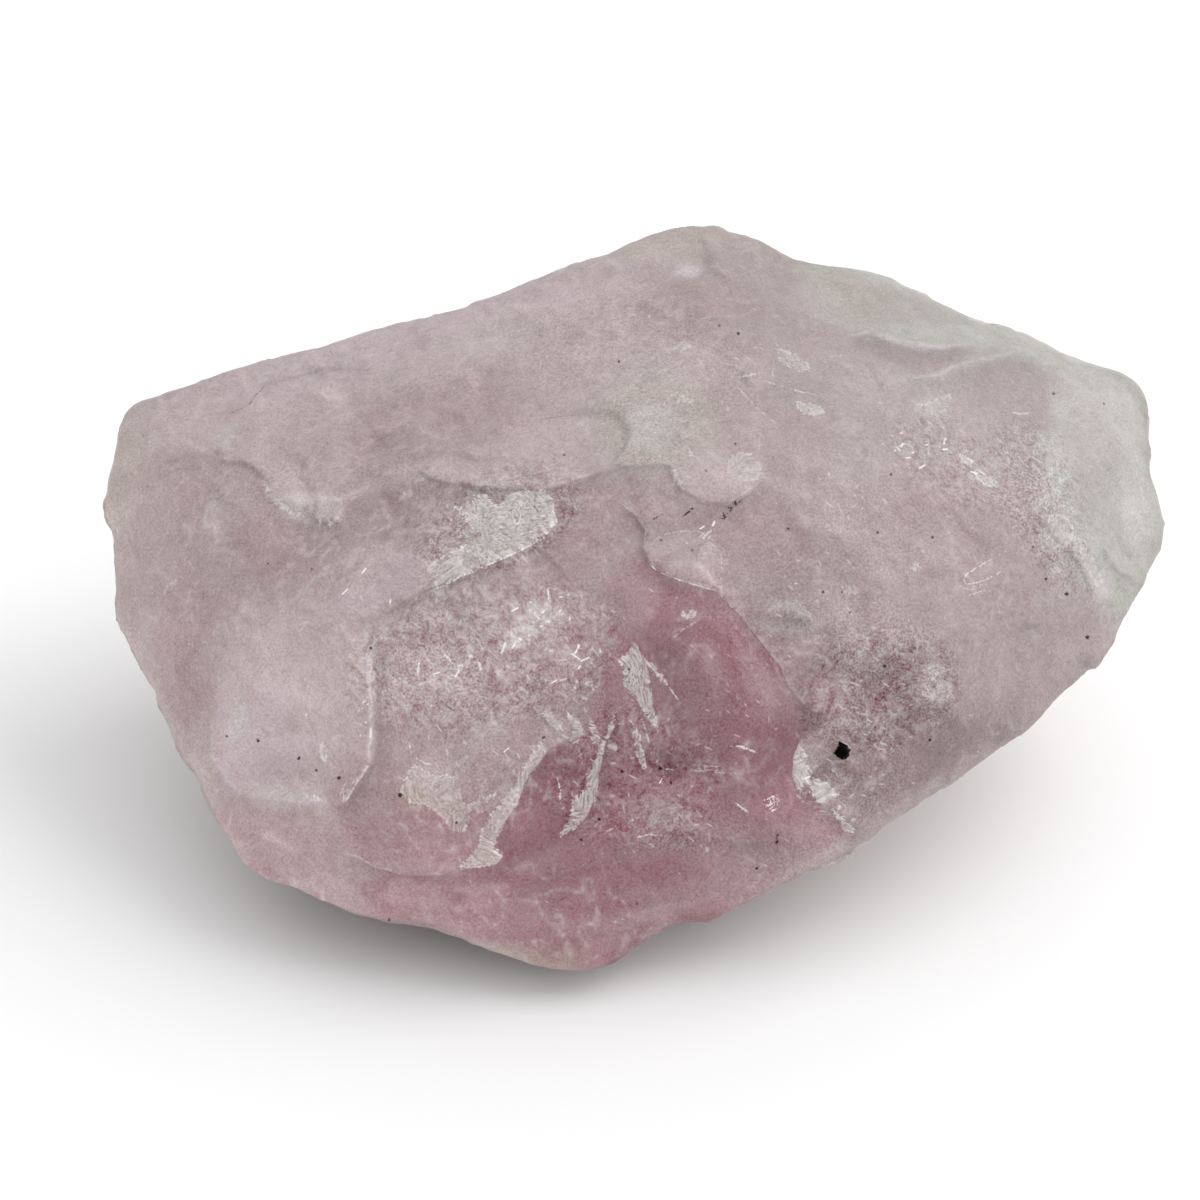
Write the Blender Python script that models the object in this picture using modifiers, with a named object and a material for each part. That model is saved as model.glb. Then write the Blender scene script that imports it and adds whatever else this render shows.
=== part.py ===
"""A rough lump of pale pink beryl, 75 mm long, as it was broken from the rock.

The stone is drawn the way it is looked at: on a show face that leans back from the
viewer. On that face u runs across, v runs up the face, and w stands out of it towards
the eye, all in millimetres. The rim is the outline that the eye sees. The landmarks
inside it are the corners and ridges of the broken faces. The hidden side is drawn in
the stone's own axes: x to the right, y away from the viewer and z up.
"""

import math

import bmesh
import bpy
from mathutils import Vector, geometry, noise

MM = 0.001

# How the show face stands: the eye looks down on it at LOOK_DOWN from EYE_DISTANCE.
LOOK_DOWN = math.radians(40)
EYE_DISTANCE = 235.0
FACE_HEIGHT = 17.0

# Fineness of the finished solid: how often the net is halved, and how many of its
# triangles then stay.
SMOOTHING_LEVELS = 3
KEPT_SHARE = 0.24

# Sharpness of the net's edges: 1 is a knife edge, 0 is rounded over. A fold between two
# faces is sharpened by its angle, from none at FLAT_FOLD to FOLD_CRISP at STEEP_FOLD.
RIDGE_CRISP = 0.8
RIM_CRISP = 0.4
FOLD_CRISP = 0.6
FLAT_FOLD = math.radians(10)
STEEP_FOLD = math.radians(45)

# The chips that cover the broken faces: their width, the lean of each chip against the
# face under it and the sharpness of the steps between them. The shares say how much of
# their height shows on the fresh break, on the worn show face round it, on the hidden
# side, and where the surface turns away from the eye.
CHIP_WIDTH = 11.0
SMALL_CHIP_WIDTH = 5.0
CHIP_LEAN = 0.3
CHIP_STEPS = 4
FRESH_SHARE = 0.6
WORN_SHARE = 0.28
HIDDEN_SHARE = 1.1
RIM_SHARE = 0.35
TURNING = 0.3

# The fresh break at the front, where the chips are steepest, as drawn.
BREAK_CENTRE = Vector((-6.0, -5.0))
BREAK_RADIUS = 20.0

# The finish: cloudy pale pink crystal, duller than glass on its broken faces.
PALE_PINK = (0.46, 0.37, 0.37, 1.0)
BROKEN_ROUGHNESS = 0.45

# The outline that the eye sees, clockwise from the left corner.
RIM_TOP = [
    (-35.9, 13.4, -3.5),
    (-32.8, 14.8, -3.0),
    (-26.8, 16.9, -3.0),
    (-21.8, 17.7, -3.0),
    (-15.0, 19.9, -3.0),
    (-9.9, 21.3, -3.0),
    (-6.0, 23.0, -3.0),
    (-2.0, 24.2, -3.0),
    (2.0, 26.2, -3.2),
    (4.4, 26.9, -3.5),
    (7.7, 26.0, -4.0),
]
RIM_BACK_RIGHT = [
    (10.3, 25.0, -4.5),
    (12.6, 23.4, -5.0),
    (16.5, 23.1, -5.5),
    (19.6, 21.6, -6.0),
    (21.9, 21.1, -6.5),
    (24.6, 19.4, -6.8),
    (28.3, 18.2, -7.0),
    (30.6, 16.8, -6.5),
    (35.3, 15.6, -6.0),
    (36.4, 14.3, -5.5),
    (36.9, 11.1, -4.0),
    (37.4, 6.5, -2.0),
    (37.6, 4.0, -1.0),
]
RIM_RIGHT = [
    (36.8, 1.2, 0.5),
    (35.9, -1.3, 1.5),
    (34.4, -4.1, 3.0),
    (32.4, -6.2, 4.0),
    (30.1, -7.9, 5.5),
    (27.3, -10.7, 7.0),
    (22.4, -14.0, 9.0),
    (18.8, -15.7, 9.3),
    (15.8, -18.2, 9.5),
    (12.5, -19.7, 9.0),
]
RIM_FRONT = [
    (7.7, -22.5, 8.5),
    (3.2, -24.0, 8.5),
    (0.6, -25.2, 8.5),
    (-1.6, -26.8, 8.5),
    (-4.8, -27.0, 8.5),
    (-9.2, -26.0, 8.5),
    (-12.7, -23.7, 8.7),
    (-14.3, -23.2, 8.7),
    (-18.3, -23.4, 8.0),
    (-22.2, -21.8, 7.0),
    (-25.4, -20.9, 6.0),
    (-28.2, -18.6, 5.0),
]
RIM_LEFT = [
    (-29.9, -15.6, 3.8),
    (-30.8, -13.0, 2.8),
    (-33.1, -9.3, 1.8),
    (-34.9, -4.7, 0.2),
    (-36.8, -2.0, -0.8),
    (-36.9, 1.4, -1.0),
    (-37.0, 4.1, -1.0),
    (-37.7, 6.4, -1.2),
    (-36.9, 8.9, -1.8),
    (-36.6, 11.6, -2.8),
]
RIM = RIM_TOP + RIM_BACK_RIGHT + RIM_RIGHT + RIM_FRONT + RIM_LEFT

# The edge of the upper plate, which steps down to the faces in front of it.
PLATE_EDGE = [
    (-24.4, 6.2, 6.3),
    (-20.0, 8.2, 6.6),
    (-14.0, 8.0, 9.0),
    (-6.4, 7.4, 12.2),
    (-2.2, 8.8, 13.0),
    (3.7, 9.2, 13.6),
    (8.0, 7.3, 14.2),
]

# The brow over the front, from the slab on the left to the top of the hollow.
BROW = [
    (-28.3, -1.8, 6.6),
    (-23.4, 0.2, 9.2),
    (-17.4, -1.6, 12.4),
    (-13.5, 0.3, 13.2),
    (-9.3, 2.4, 13.9),
    (-5.8, 4.0, 14.2),
]

# The ridge on the right of the hollow, down to the notch at its foot.
HOLLOW_RIDGE = [
    (1.7, 4.5, 13.2),
    (2.8, 1.7, 13.5),
    (6.1, 0.2, 14.6),
    (8.1, -1.8, 14.4),
    (9.8, -4.7, 14.0),
    (11.2, -7.1, 13.4),
    (14.2, -9.3, 12.8),
    (11.7, -10.7, 12.8),
    (11.4, -13.1, 12.3),
    (13.2, -14.7, 11.6),
    (15.2, -16.6, 10.6),
]

# The foot of the slab and its right side, where it stands proud of the front.
SLAB_EDGE = [
    (-28.9, -7.0, 6.0),
    (-27.4, -12.0, 6.8),
    (-24.6, -14.0, 8.4),
    (-20.4, -15.2, 9.8),
    (-18.2, -12.1, 11.0),
    (-17.9, -8.9, 11.8),
    (-17.4, -1.6, 12.4),
]

# The broken edge of the lobe beside the hollow.
LOBE_EDGE = [
    (-3.0, -9.0, 12.2),
    (-5.6, -12.4, 12.4),
    (-7.0, -15.6, 12.6),
    (-9.0, -18.8, 12.2),
    (-13.5, -19.9, 11.2),
    (-18.4, -18.2, 10.2),
    (-20.4, -15.2, 9.8),
]

# The line where the pale right end turns away.
END_RIDGE = [
    (29.9, 8.4, 4.4),
    (31.0, 4.4, 5.4),
    (33.3, 0.6, 4.4),
]

# The lip of the shell-shaped break on the upper right.
SHELL_LIP = [
    (13.0, 21.6, -1.8),
    (16.5, 18.8, 1.0),
    (19.4, 17.6, 2.0),
    (23.2, 17.0, 0.8),
    (26.4, 17.0, -1.6),
]

# Single landmarks of the broken faces: the plate, then left, front, hollow and right.
PLATE_POINTS = [
    (-31.4, 11.8, -0.2),
    (-21.3, 13.4, 2.4),
    (-12.8, 14.2, 4.4),
    (-5.0, 17.4, 4.0),
    (1.3, 20.6, 2.6),
    (7.7, 20.8, 2.6),
    (7.0, 14.4, 9.0),
    (-1.2, 12.9, 9.0),
]
LEFT_POINTS = [
    (-33.2, 7.6, 2.0),
    (-33.2, 1.4, 3.0),
    (-28.4, 6.0, 4.6),
    (-32.0, -5.2, 4.4),
    (-30.0, -11.4, 4.6),
    (-26.8, -17.4, 6.8),
    (-22.0, 3.4, 8.2),
    (-16.4, 3.6, 10.0),
    (-10.6, 5.2, 11.6),
]
FRONT_POINTS = [
    (-23.4, -6.4, 9.8),
    (-2.2, 3.2, 13.8),
    (-10.7, -3.2, 14.4),
    (-5.0, -3.6, 13.8),
    (-11.8, -8.6, 13.6),
    (-8.6, -12.6, 13.8),
    (-13.6, -14.8, 13.2),
    (-13.0, -22.0, 9.8),
    (-20.2, -20.4, 8.8),
]
HOLLOW_POINTS = [
    (0.6, -1.6, 11.4),
    (4.9, -4.4, 9.4),
    (-0.6, -7.6, 11.0),
    (8.6, -9.4, 8.8),
    (3.2, -10.6, 8.0),
    (-1.6, -14.0, 9.4),
    (-5.2, -17.8, 9.4),
    (7.8, -14.8, 8.2),
    (3.4, -18.4, 8.6),
    (-3.4, -22.2, 9.4),
    (11.2, -17.4, 8.9),
]
RIGHT_POINTS = [
    (4.6, 4.6, 14.2),
    (15.5, 9.6, 12.2),
    (17.4, 2.2, 13.6),
    (14.4, -3.6, 14.0),
    (23.2, -2.6, 11.4),
    (18.6, -10.6, 11.8),
    (27.0, -5.6, 8.6),
    (27.6, 3.4, 8.6),
    (23.4, 11.6, 6.2),
    (14.6, 15.2, 7.0),
    (20.0, 14.6, 4.6),
    (29.4, 13.6, -0.6),
    (34.0, 11.0, -0.4),
    (35.0, 5.6, 1.0),
]

# Behind the rim the stone turns away over a shoulder, one point for each point of the
# rim, drawn this much nearer the middle and about this far behind it.
SHOULDER_PULL = 0.06
SHOULDER_DEPTH = 5.0
SHOULDER_SWELL = 2.5
SWELL_WIDTH = 12.0

# The hidden side, as x, y and z. The foot points lie below the table and are cut off.
FOOT_DEPTH = -2.2
FOOT = [
    (-19.0, -6.5),
    (-7.0, -13.0),
    (3.0, -9.5),
    (13.0, -1.5),
    (20.0, 6.0),
    (14.0, 15.0),
    (-3.0, 17.0),
    (-20.0, 9.0),
]
HIDDEN_POINTS = [
    (-34.0, 5.0, 13.0),
    (-30.0, -2.0, 7.5),
    (-25.5, 15.0, 20.0),
    (-28.0, 12.5, 10.0),
    (-12.0, 20.5, 23.5),
    (-13.0, 21.0, 10.0),
    (3.0, 24.5, 27.0),
    (5.0, 24.5, 12.0),
    (18.0, 22.0, 22.0),
    (20.0, 20.0, 9.0),
    (31.0, 15.0, 17.0),
    (29.0, 12.0, 8.0),
    (33.0, 4.0, 12.0),
    (25.0, -2.0, 8.5),
]


def on_show_face(drawn):
    """The place in the stone's own axes of a point drawn as u, v and w."""
    u, v, w = drawn
    spread = 1 - w / EYE_DISTANCE
    up_face = v * spread
    return Vector(
        (
            u * spread,
            up_face * math.sin(LOOK_DOWN) - w * math.cos(LOOK_DOWN),
            FACE_HEIGHT + up_face * math.cos(LOOK_DOWN) + w * math.sin(LOOK_DOWN),
        )
    )


def as_drawn(place):
    """Where the eye sees a point of the stone's own axes, as u and v."""
    x, y, z = place
    height = z - FACE_HEIGHT
    w = height * math.sin(LOOK_DOWN) - y * math.cos(LOOK_DOWN)
    v = height * math.cos(LOOK_DOWN) + y * math.sin(LOOK_DOWN)
    spread = 1 - w / EYE_DISTANCE
    return Vector((x / spread, v / spread))


class Cage:
    """The coarse net of landmarks, which the smoothing turns into broken faces."""

    def __init__(self):
        self.mesh = bmesh.new()
        self.edge_crease = self.mesh.edges.layers.float.new("crease_edge")
        self.corners = {}

    def corner(self, place):
        """The net's one vertex at this place."""
        key = tuple(round(value, 3) for value in place)
        if key not in self.corners:
            self.corners[key] = self.mesh.verts.new(Vector(place) * MM)
        return self.corners[key]

    def fill(self, flat, places, border, lines, flipped):
        """Joins one side's landmarks inside its border, keeping the drawn lines whole."""
        _, _, triangles, origin, _, inside = geometry.delaunay_2d_cdt(
            flat, lines, [border], 0, 1e-4, True
        )
        for triangle, owner in zip(triangles, inside):
            if not owner:
                continue
            around = [self.corner(places[origin[i][0]]) for i in triangle]
            self.mesh.faces.new(reversed(around) if flipped else around)

    def band(self, outer, inner):
        """Joins two closed lines of equal length with a ring of four-sided faces."""
        count = len(outer)
        for i in range(count):
            following = (i + 1) % count
            around = [outer[i], outer[following], inner[following], inner[i]]
            self.mesh.faces.new([self.corner(place) for place in around])

    def sharpen_folds(self):
        """Creases each edge by the angle between its two faces."""
        self.mesh.normal_update()
        for edge in self.mesh.edges:
            steep = (edge.calc_face_angle() - FLAT_FOLD) / (STEEP_FOLD - FLAT_FOLD)
            edge[self.edge_crease] = FOLD_CRISP * min(max(steep, 0), 1)

    def sharpen(self, line, amount):
        """Creases the net along a drawn ridge."""
        corners = [self.corner(place) for place in line]
        for a, b in zip(corners, corners[1:]):
            edge = self.mesh.edges.get((a, b))
            if edge:
                edge[self.edge_crease] = amount


def chained(lines, start_at):
    """All points of the lines, once each, and the pairs of indices that join them."""
    points, pairs = list(start_at), []
    for line in lines:
        places = []
        for point in line:
            if point not in points:
                points.append(point)
            places.append(points.index(point))
        pairs += list(zip(places, places[1:]))
    return points, pairs


def shoulder(rim_point):
    """The drawn point where the surface behind a point of the rim has turned away."""
    u, v, w = rim_point
    swell = SHOULDER_SWELL * noise.noise(Vector((u, v, 0)) / SWELL_WIDTH)
    pull = 1 - SHOULDER_PULL
    return (u * pull, v * pull, w - SHOULDER_DEPTH - swell)


def make_cage():
    """The net of the whole stone: the show face, then the hidden side."""
    cage = Cage()
    ridges = [PLATE_EDGE, BROW, HOLLOW_RIDGE, SLAB_EDGE, LOBE_EDGE, END_RIDGE, SHELL_LIP]
    border = list(range(len(RIM)))[::-1]

    points, pairs = chained(ridges, RIM)
    for group in (PLATE_POINTS, LEFT_POINTS, FRONT_POINTS, HOLLOW_POINTS, RIGHT_POINTS):
        points += group
    flat = [Vector(point[:2]) for point in points]
    cage.fill(flat, [on_show_face(point) for point in points], border, pairs, False)

    behind = [on_show_face(shoulder(point)) for point in RIM]
    cage.band([on_show_face(point) for point in RIM], behind)
    hidden = [Vector((x, y, FOOT_DEPTH)) for x, y in FOOT]
    hidden += [Vector(point) for point in HIDDEN_POINTS]
    places = behind + hidden
    flat = [as_drawn(place) for place in places]
    cage.fill(flat, places, border, [], True)

    cage.sharpen_folds()
    cage.sharpen([on_show_face(point) for point in RIM + RIM[:1]], RIM_CRISP)
    for line in ridges:
        cage.sharpen([on_show_face(point) for point in line], RIDGE_CRISP)
    return cage.mesh


def chips(place, width):
    """Height above the face of the leaning chip that a place lies on, in millimetres."""
    distances, seeds = noise.voronoi(place / width)
    height = total = 0
    for distance, seed in zip(distances, seeds):
        lean = noise.cell_vector(seed * 53.7) - Vector((0.5, 0.5, 0.5))
        hold = (distances[3] - distance) ** CHIP_STEPS
        height += hold * lean.dot(place - seed * width) * CHIP_LEAN
        total += hold
    return height / max(total, 1e-9)


def chip_share(place, normal):
    """The share of the chips' full height that shows at a place."""
    away = (as_drawn(place) - BREAK_CENTRE).length / BREAK_RADIUS
    fresh = min(max(1.6 - away, 0), 1)
    shown = WORN_SHARE + (FRESH_SHARE - WORN_SHARE) * fresh
    facing = normal.z * math.sin(LOOK_DOWN) - normal.y * math.cos(LOOK_DOWN)
    turned = min(max(0.5 - facing / TURNING, 0), 1)
    share = shown + (HIDDEN_SHARE - shown) * turned
    return share * (RIM_SHARE + (1 - RIM_SHARE) * abs(facing))


def roughen(mesh):
    """Chips the smooth form all over, each point along its own normal."""
    mesh.normal_update()
    places = [vert.co / MM for vert in mesh.verts]
    heights = [
        chips(place, CHIP_WIDTH) + chips(place, SMALL_CHIP_WIDTH) for place in places
    ]
    middle = sum(heights) / len(heights)
    for vert, place, height in zip(mesh.verts, places, heights):
        vert.co += vert.normal * (height - middle) * chip_share(place, vert.normal) * MM


def flatten_foot(mesh):
    """Cuts the stone off at the table and closes it with a flat foot."""
    whole = mesh.verts[:] + mesh.edges[:] + mesh.faces[:]
    bmesh.ops.bisect_plane(
        mesh, geom=whole, plane_co=(0, 0, 0), plane_no=(0, 0, 1), clear_inner=True
    )
    rim = [edge for edge in mesh.edges if edge.is_boundary]
    bmesh.ops.edgeloop_fill(mesh, edges=rim)
    bmesh.ops.triangulate(mesh, faces=mesh.faces[:])


def centre_over_origin(mesh):
    """Moves the stone so that its bounding box stands on the origin."""
    low = Vector([min(vert.co[k] for vert in mesh.verts) for k in range(3)])
    high = Vector([max(vert.co[k] for vert in mesh.verts) for k in range(3)])
    shift = (low + high) / -2
    shift.z = -low.z
    bmesh.ops.translate(mesh, vec=shift, verts=mesh.verts)


def evaluated(stone):
    """A copy of the object's mesh with its modifiers applied."""
    graph = bpy.context.evaluated_depsgraph_get()
    mesh = bmesh.new()
    mesh.from_object(stone, graph)
    return mesh


def make_finish():
    """Cloudy pale pink beryl."""
    finish = bpy.data.materials.new("pale pink beryl")
    finish.use_nodes = True
    shader = finish.node_tree.nodes["Principled BSDF"]
    shader.inputs["Base Color"].default_value = PALE_PINK
    shader.inputs["Roughness"].default_value = BROKEN_ROUGHNESS
    shader.inputs["Metallic"].default_value = 0.0
    return finish


def make_stone(collection):
    """The stone as one object, resting on its foot with its middle over the origin."""
    mesh = bpy.data.meshes.new("morganite_stone")
    stone = bpy.data.objects.new("morganite_stone", mesh)
    collection.objects.link(stone)
    mesh.materials.append(make_finish())

    cage = make_cage()
    cage.to_mesh(mesh)
    smooth = stone.modifiers.new("broken faces", "SUBSURF")
    smooth.levels = smooth.render_levels = SMOOTHING_LEVELS
    chipped = evaluated(stone)
    stone.modifiers.clear()
    roughen(chipped)
    chipped.to_mesh(mesh)

    thin = stone.modifiers.new("fewer triangles", "DECIMATE")
    thin.ratio = KEPT_SHARE
    solid = evaluated(stone)
    stone.modifiers.clear()
    flatten_foot(solid)
    centre_over_origin(solid)
    solid.to_mesh(mesh)
    for work in (cage, chipped, solid):
        work.free()
    return stone


def main():
    for old in list(bpy.data.objects):
        bpy.data.objects.remove(old)
    collection = bpy.data.collections.new("morganite_specimen")
    bpy.context.scene.collection.children.link(collection)
    make_stone(collection)


main()
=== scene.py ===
"""Looks of a rough lump of cloudy pink beryl that lies on a pale table.

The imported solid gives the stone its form. Here a copy of it gets a finer net, the small
forms of the broken faces and the colours of the crystal. The forms and colours of the
show face are placed where the eye sees them, in pixels of a square picture 1200 wide,
and are laid on the stone's own surface. The hidden side is broken and clouded the same
way, from patterns that run through the stone.
"""

import logging
import math
from collections.abc import Callable, Sequence
from dataclasses import dataclass, field
from enum import Enum

import bmesh
import bpy
import numpy as np
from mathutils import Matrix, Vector, noise


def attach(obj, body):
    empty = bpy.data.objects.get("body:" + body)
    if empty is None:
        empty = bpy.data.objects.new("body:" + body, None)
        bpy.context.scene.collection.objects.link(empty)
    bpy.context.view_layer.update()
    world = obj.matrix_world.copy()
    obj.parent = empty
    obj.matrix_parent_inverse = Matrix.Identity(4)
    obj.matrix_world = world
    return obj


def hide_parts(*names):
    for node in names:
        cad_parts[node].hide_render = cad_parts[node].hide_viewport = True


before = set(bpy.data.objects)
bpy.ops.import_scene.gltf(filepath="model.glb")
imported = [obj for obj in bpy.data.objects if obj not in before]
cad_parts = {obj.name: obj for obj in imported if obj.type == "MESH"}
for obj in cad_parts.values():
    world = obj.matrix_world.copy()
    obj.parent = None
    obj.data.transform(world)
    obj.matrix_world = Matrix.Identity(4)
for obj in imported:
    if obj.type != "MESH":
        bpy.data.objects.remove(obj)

MM = 0.001
PICTURE = 1200
PIXELS_PER_MM = 14.16
FAR_OFF = 9.0
# Without a seed of its own, the vector noise is seeded by the clock and differs each run.
NOISE_SEED = 7

Pixel =tuple[float, float]
Colour = tuple[float, float, float]

log = logging.getLogger("stone")


class Tone(Enum):
    """The colours of the crystal, as red, green and blue from 0 to 255 on a screen."""

    DUSTY = (174, 158, 158)
    LILAC = (191, 174, 178)
    PALE = (187, 170, 170)
    SAND = (185, 173, 167)
    BROWNISH = (170, 155, 150)
    GREENISH = (190, 189, 180)
    ICY = (203, 198, 196)
    MILKY = (208, 196, 199)
    SMOKY = (154, 133, 133)
    SHADED = (131, 110, 112)
    OLIVE = (158, 149, 130)
    MOSSY = (155, 148, 139)
    BLUSH = (168, 144, 145)
    ROSE = (158, 120, 125)
    DEEP_ROSE = (144, 98, 105)
    WINE = (116, 74, 80)
    CHALK = (212, 205, 202)
    LICHEN = (186, 181, 172)
    # The white of bright lines and rims, and of the painted glints.
    WHITE_AND_PAINTED_GLINT = (250, 247, 246)
    BLACK_GRAIN = (14, 12, 14)
    CRACK = (48, 36, 34)

    @property
    def light(self) -> Colour:
        """The colour as linear light."""
        shares = [value / 255 for value in self.value]
        return tuple(
            s / 12.92 if s <= 0.04045 else ((s + 0.055) / 1.055) ** 2.4 for s in shares
        )


def smooth(value: np.ndarray) -> np.ndarray:
    """A soft step that rises from 0 to 1 as the value does."""
    held = np.clip(value, 0, 1)
    return held * held * (3 - 2 * held)


def cloud(places: np.ndarray, width: float, seed: float, octaves: int = 1) -> np.ndarray:
    """Soft noise through the stone.

    Args:
        places: points in millimetres, one a row.
        width: rough width of a bump, in millimetres.
        seed: a number that picks the pattern.
        octaves: how many finer layers lie on each other.

    Returns:
        The noise at each point, mostly from -1 to 1.
    """
    apart = Vector((seed * 13.1, seed * 7.7, seed * 3.3))
    rows = (places / width).tolist()
    if octaves == 1:
        return np.array([noise.noise(Vector(row) + apart) for row in rows])
    return np.array([noise.fractal(Vector(row) + apart, 0.7, 2.0, octaves) for row in rows])


def wander(places: np.ndarray, width: float) -> np.ndarray:
    """A soft random shift of each point, mostly from -1 to 1 each way."""
    return np.array([noise.noise_vector(Vector(row)) for row in (places / width).tolist()])


def crystal_ways(places: np.ndarray, width: float) -> np.ndarray:
    """The way that the fine streaks run at each point: one for each small crystal.

    Args:
        places: points in millimetres, one a row.
        width: rough width of a crystal, in millimetres.

    Returns:
        A direction for each point.
    """
    bent = (places / width + 0.35 * wander(places, width * 0.8)).tolist()
    half = Vector((0.5, 0.5, 0.5))
    ways = [noise.cell_vector(noise.voronoi(Vector(row))[1][0] * 37.7) - half for row in bent]
    return np.array([way.normalized() for way in ways])


def shards(places: np.ndarray, width: float, lean: float, crisp: int) -> np.ndarray:
    """Small flat breaks that lean every way, with steps between them.

    Args:
        places: points in millimetres, one a row.
        width: width of a break, in millimetres.
        lean: how steeply the breaks lean.
        crisp: how sharp the steps are, from 2 for rounded ones.

    Returns:
        Height at each point, in millimetres, about zero on average.
    """
    heights = np.zeros(len(places))
    half = Vector((0.5, 0.5, 0.5))
    for i, row in enumerate(places.tolist()):
        place = Vector(row)
        distances, seeds = noise.voronoi(place / width)
        total = height = 0.0
        for distance, seed in zip(distances, seeds):
            hold = (distances[3] - distance) ** crisp
            slope = noise.cell_vector(seed * 41.3) - half
            height += hold * slope.dot(place - seed * width)
            total += hold
        heights[i] = lean * height / max(total, 1e-12)
    return heights - heights.mean()


@dataclass(frozen=True)
class Eye:
    """Where the picture is taken from: the drawn face leans back under it."""

    look_down: float = math.radians(40)
    distance: float = 235.0
    centre: tuple[float, float, float] = (-0.251, -0.577, 17.0)
    middle: Pixel = (631.0, 594.0)
    lens: float = 100.0
    sensor: float = 36.0

    @property
    def back(self) -> Vector:
        """The direction from the stone to the eye."""
        return Vector((0, -math.cos(self.look_down), math.sin(self.look_down)))

    def seen(self, places: np.ndarray) -> np.ndarray:
        """The pixel that each place of the stone falls on.

        Args:
            places: points in millimetres, one a row.

        Returns:
            Pixels across and down, one pair a row.
        """
        x, y, z = (places - np.array(self.centre)).T
        towards = z * math.sin(self.look_down) - y * math.cos(self.look_down)
        up = z * math.cos(self.look_down) + y * math.sin(self.look_down)
        scale = PIXELS_PER_MM / (1 - towards / self.distance)
        return np.stack([self.middle[0] + x * scale, self.middle[1] - up * scale], axis=1)

    def make_camera(self) -> bpy.types.Object:
        """Makes the camera of the scene, at the eye.

        Returns:
            The camera.
        """
        camera = bpy.data.objects.new("eye", bpy.data.cameras.new("eye"))
        bpy.context.scene.collection.objects.link(camera)
        camera.location = (Vector(self.centre) + self.back * self.distance) * MM
        camera.rotation_mode = "QUATERNION"
        camera.rotation_quaternion = (-self.back).to_track_quat("-Z", "Y")
        camera.data.lens = self.lens
        camera.data.sensor_width = self.sensor
        camera.data.clip_start = MM
        camera.data.shift_x = (PICTURE / 2 - self.middle[0]) / PICTURE
        camera.data.shift_y = (self.middle[1] - PICTURE / 2) / PICTURE
        bpy.context.scene.camera = camera
        return camera


EYE = Eye()


@dataclass
class Surface:
    """The points of the stone's surface, and where the eye sees them."""

    places: np.ndarray
    normals: np.ndarray
    seen: np.ndarray = field(init=False)
    facing: np.ndarray = field(init=False)
    shown: np.ndarray = field(init=False)
    ragged: np.ndarray = field(init=False)

    def __post_init__(self) -> None:
        """Works out what the eye sees of each point, and the waver of drawn edges."""
        self.seen = EYE.seen(self.places)
        eye = np.array(EYE.centre) + np.array(EYE.back) * EYE.distance
        sight = eye - self.places
        sight /= np.linalg.norm(sight, axis=1)[:, None]
        self.facing = (self.normals * sight).sum(axis=1)
        self.shown = smooth(self.facing / 0.18)
        self.ragged = (
            0.42 * cloud(self.places, 1.6, 1)
            + 0.26 * cloud(self.places, 0.7, 2)
            + 0.9 * cloud(self.places, 5.0, 3)
        )

    @classmethod
    def of_mesh(cls, mesh: bpy.types.Mesh) -> "Surface":
        """Reads the surface of a mesh.

        Args:
            mesh: the mesh, in metres.

        Returns:
            Its points, in millimetres.
        """
        count = len(mesh.vertices)
        places = np.empty(count * 3, np.float32)
        normals = np.empty(count * 3, np.float32)
        mesh.vertices.foreach_get("co", places)
        mesh.vertex_normals.foreach_get("vector", normals)
        return cls(places.reshape(-1, 3) / MM, normals.reshape(-1, 3).astype(float))


def from_line(seen: np.ndarray, line: Sequence[Pixel]) -> tuple[np.ndarray, np.ndarray]:
    """How the points lie against a drawn line.

    Args:
        seen: pixels, one pair a row.
        line: the pixels that the line runs through.

    Returns:
        The distance from the line, above zero on the right hand of its run, and the
        length run along it, both in millimetres.
    """
    nearest = np.full(len(seen), np.inf)
    side = np.ones(len(seen))
    along = np.zeros(len(seen))
    run = 0.0
    for (ax, ay), (bx, by) in zip(line, line[1:]):
        dx, dy = bx - ax, by - ay
        length = math.hypot(dx, dy)
        rx, ry = seen[:, 0] - ax, seen[:, 1] - ay
        share = np.clip((rx * dx + ry * dy) / length**2, 0, 1)
        away = np.hypot(rx - share * dx, ry - share * dy)
        closer = away < nearest
        nearest = np.where(closer, away, nearest)
        side = np.where(closer, np.sign(dx * ry - dy * rx), side)
        along = np.where(closer, run + share * length, along)
        run += length
    return nearest * side / PIXELS_PER_MM, along / PIXELS_PER_MM


def line_length(line: Sequence[Pixel]) -> float:
    """The length of a drawn line in millimetres."""
    return sum(math.dist(a, b) for a, b in zip(line, line[1:])) / PIXELS_PER_MM


@dataclass(frozen=True)
class Oval:
    """An oval patch, drawn by its middle, its half width and half height, and its turn."""

    centre: Pixel
    radii: Pixel
    turn: float = 0.0

    def depth(self, seen: np.ndarray) -> np.ndarray:
        """How far inside the patch each pixel lies.

        Args:
            seen: pixels, one pair a row.

        Returns:
            The distance to the edge in millimetres, below zero outside.
        """
        angle = math.radians(self.turn)
        x, y = seen[:, 0] - self.centre[0], seen[:, 1] - self.centre[1]
        across = (x * math.cos(angle) + y * math.sin(angle)) / self.radii[0]
        down = (y * math.cos(angle) - x * math.sin(angle)) / self.radii[1]
        return (1 - np.hypot(across, down)) * min(self.radii) / PIXELS_PER_MM


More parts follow.
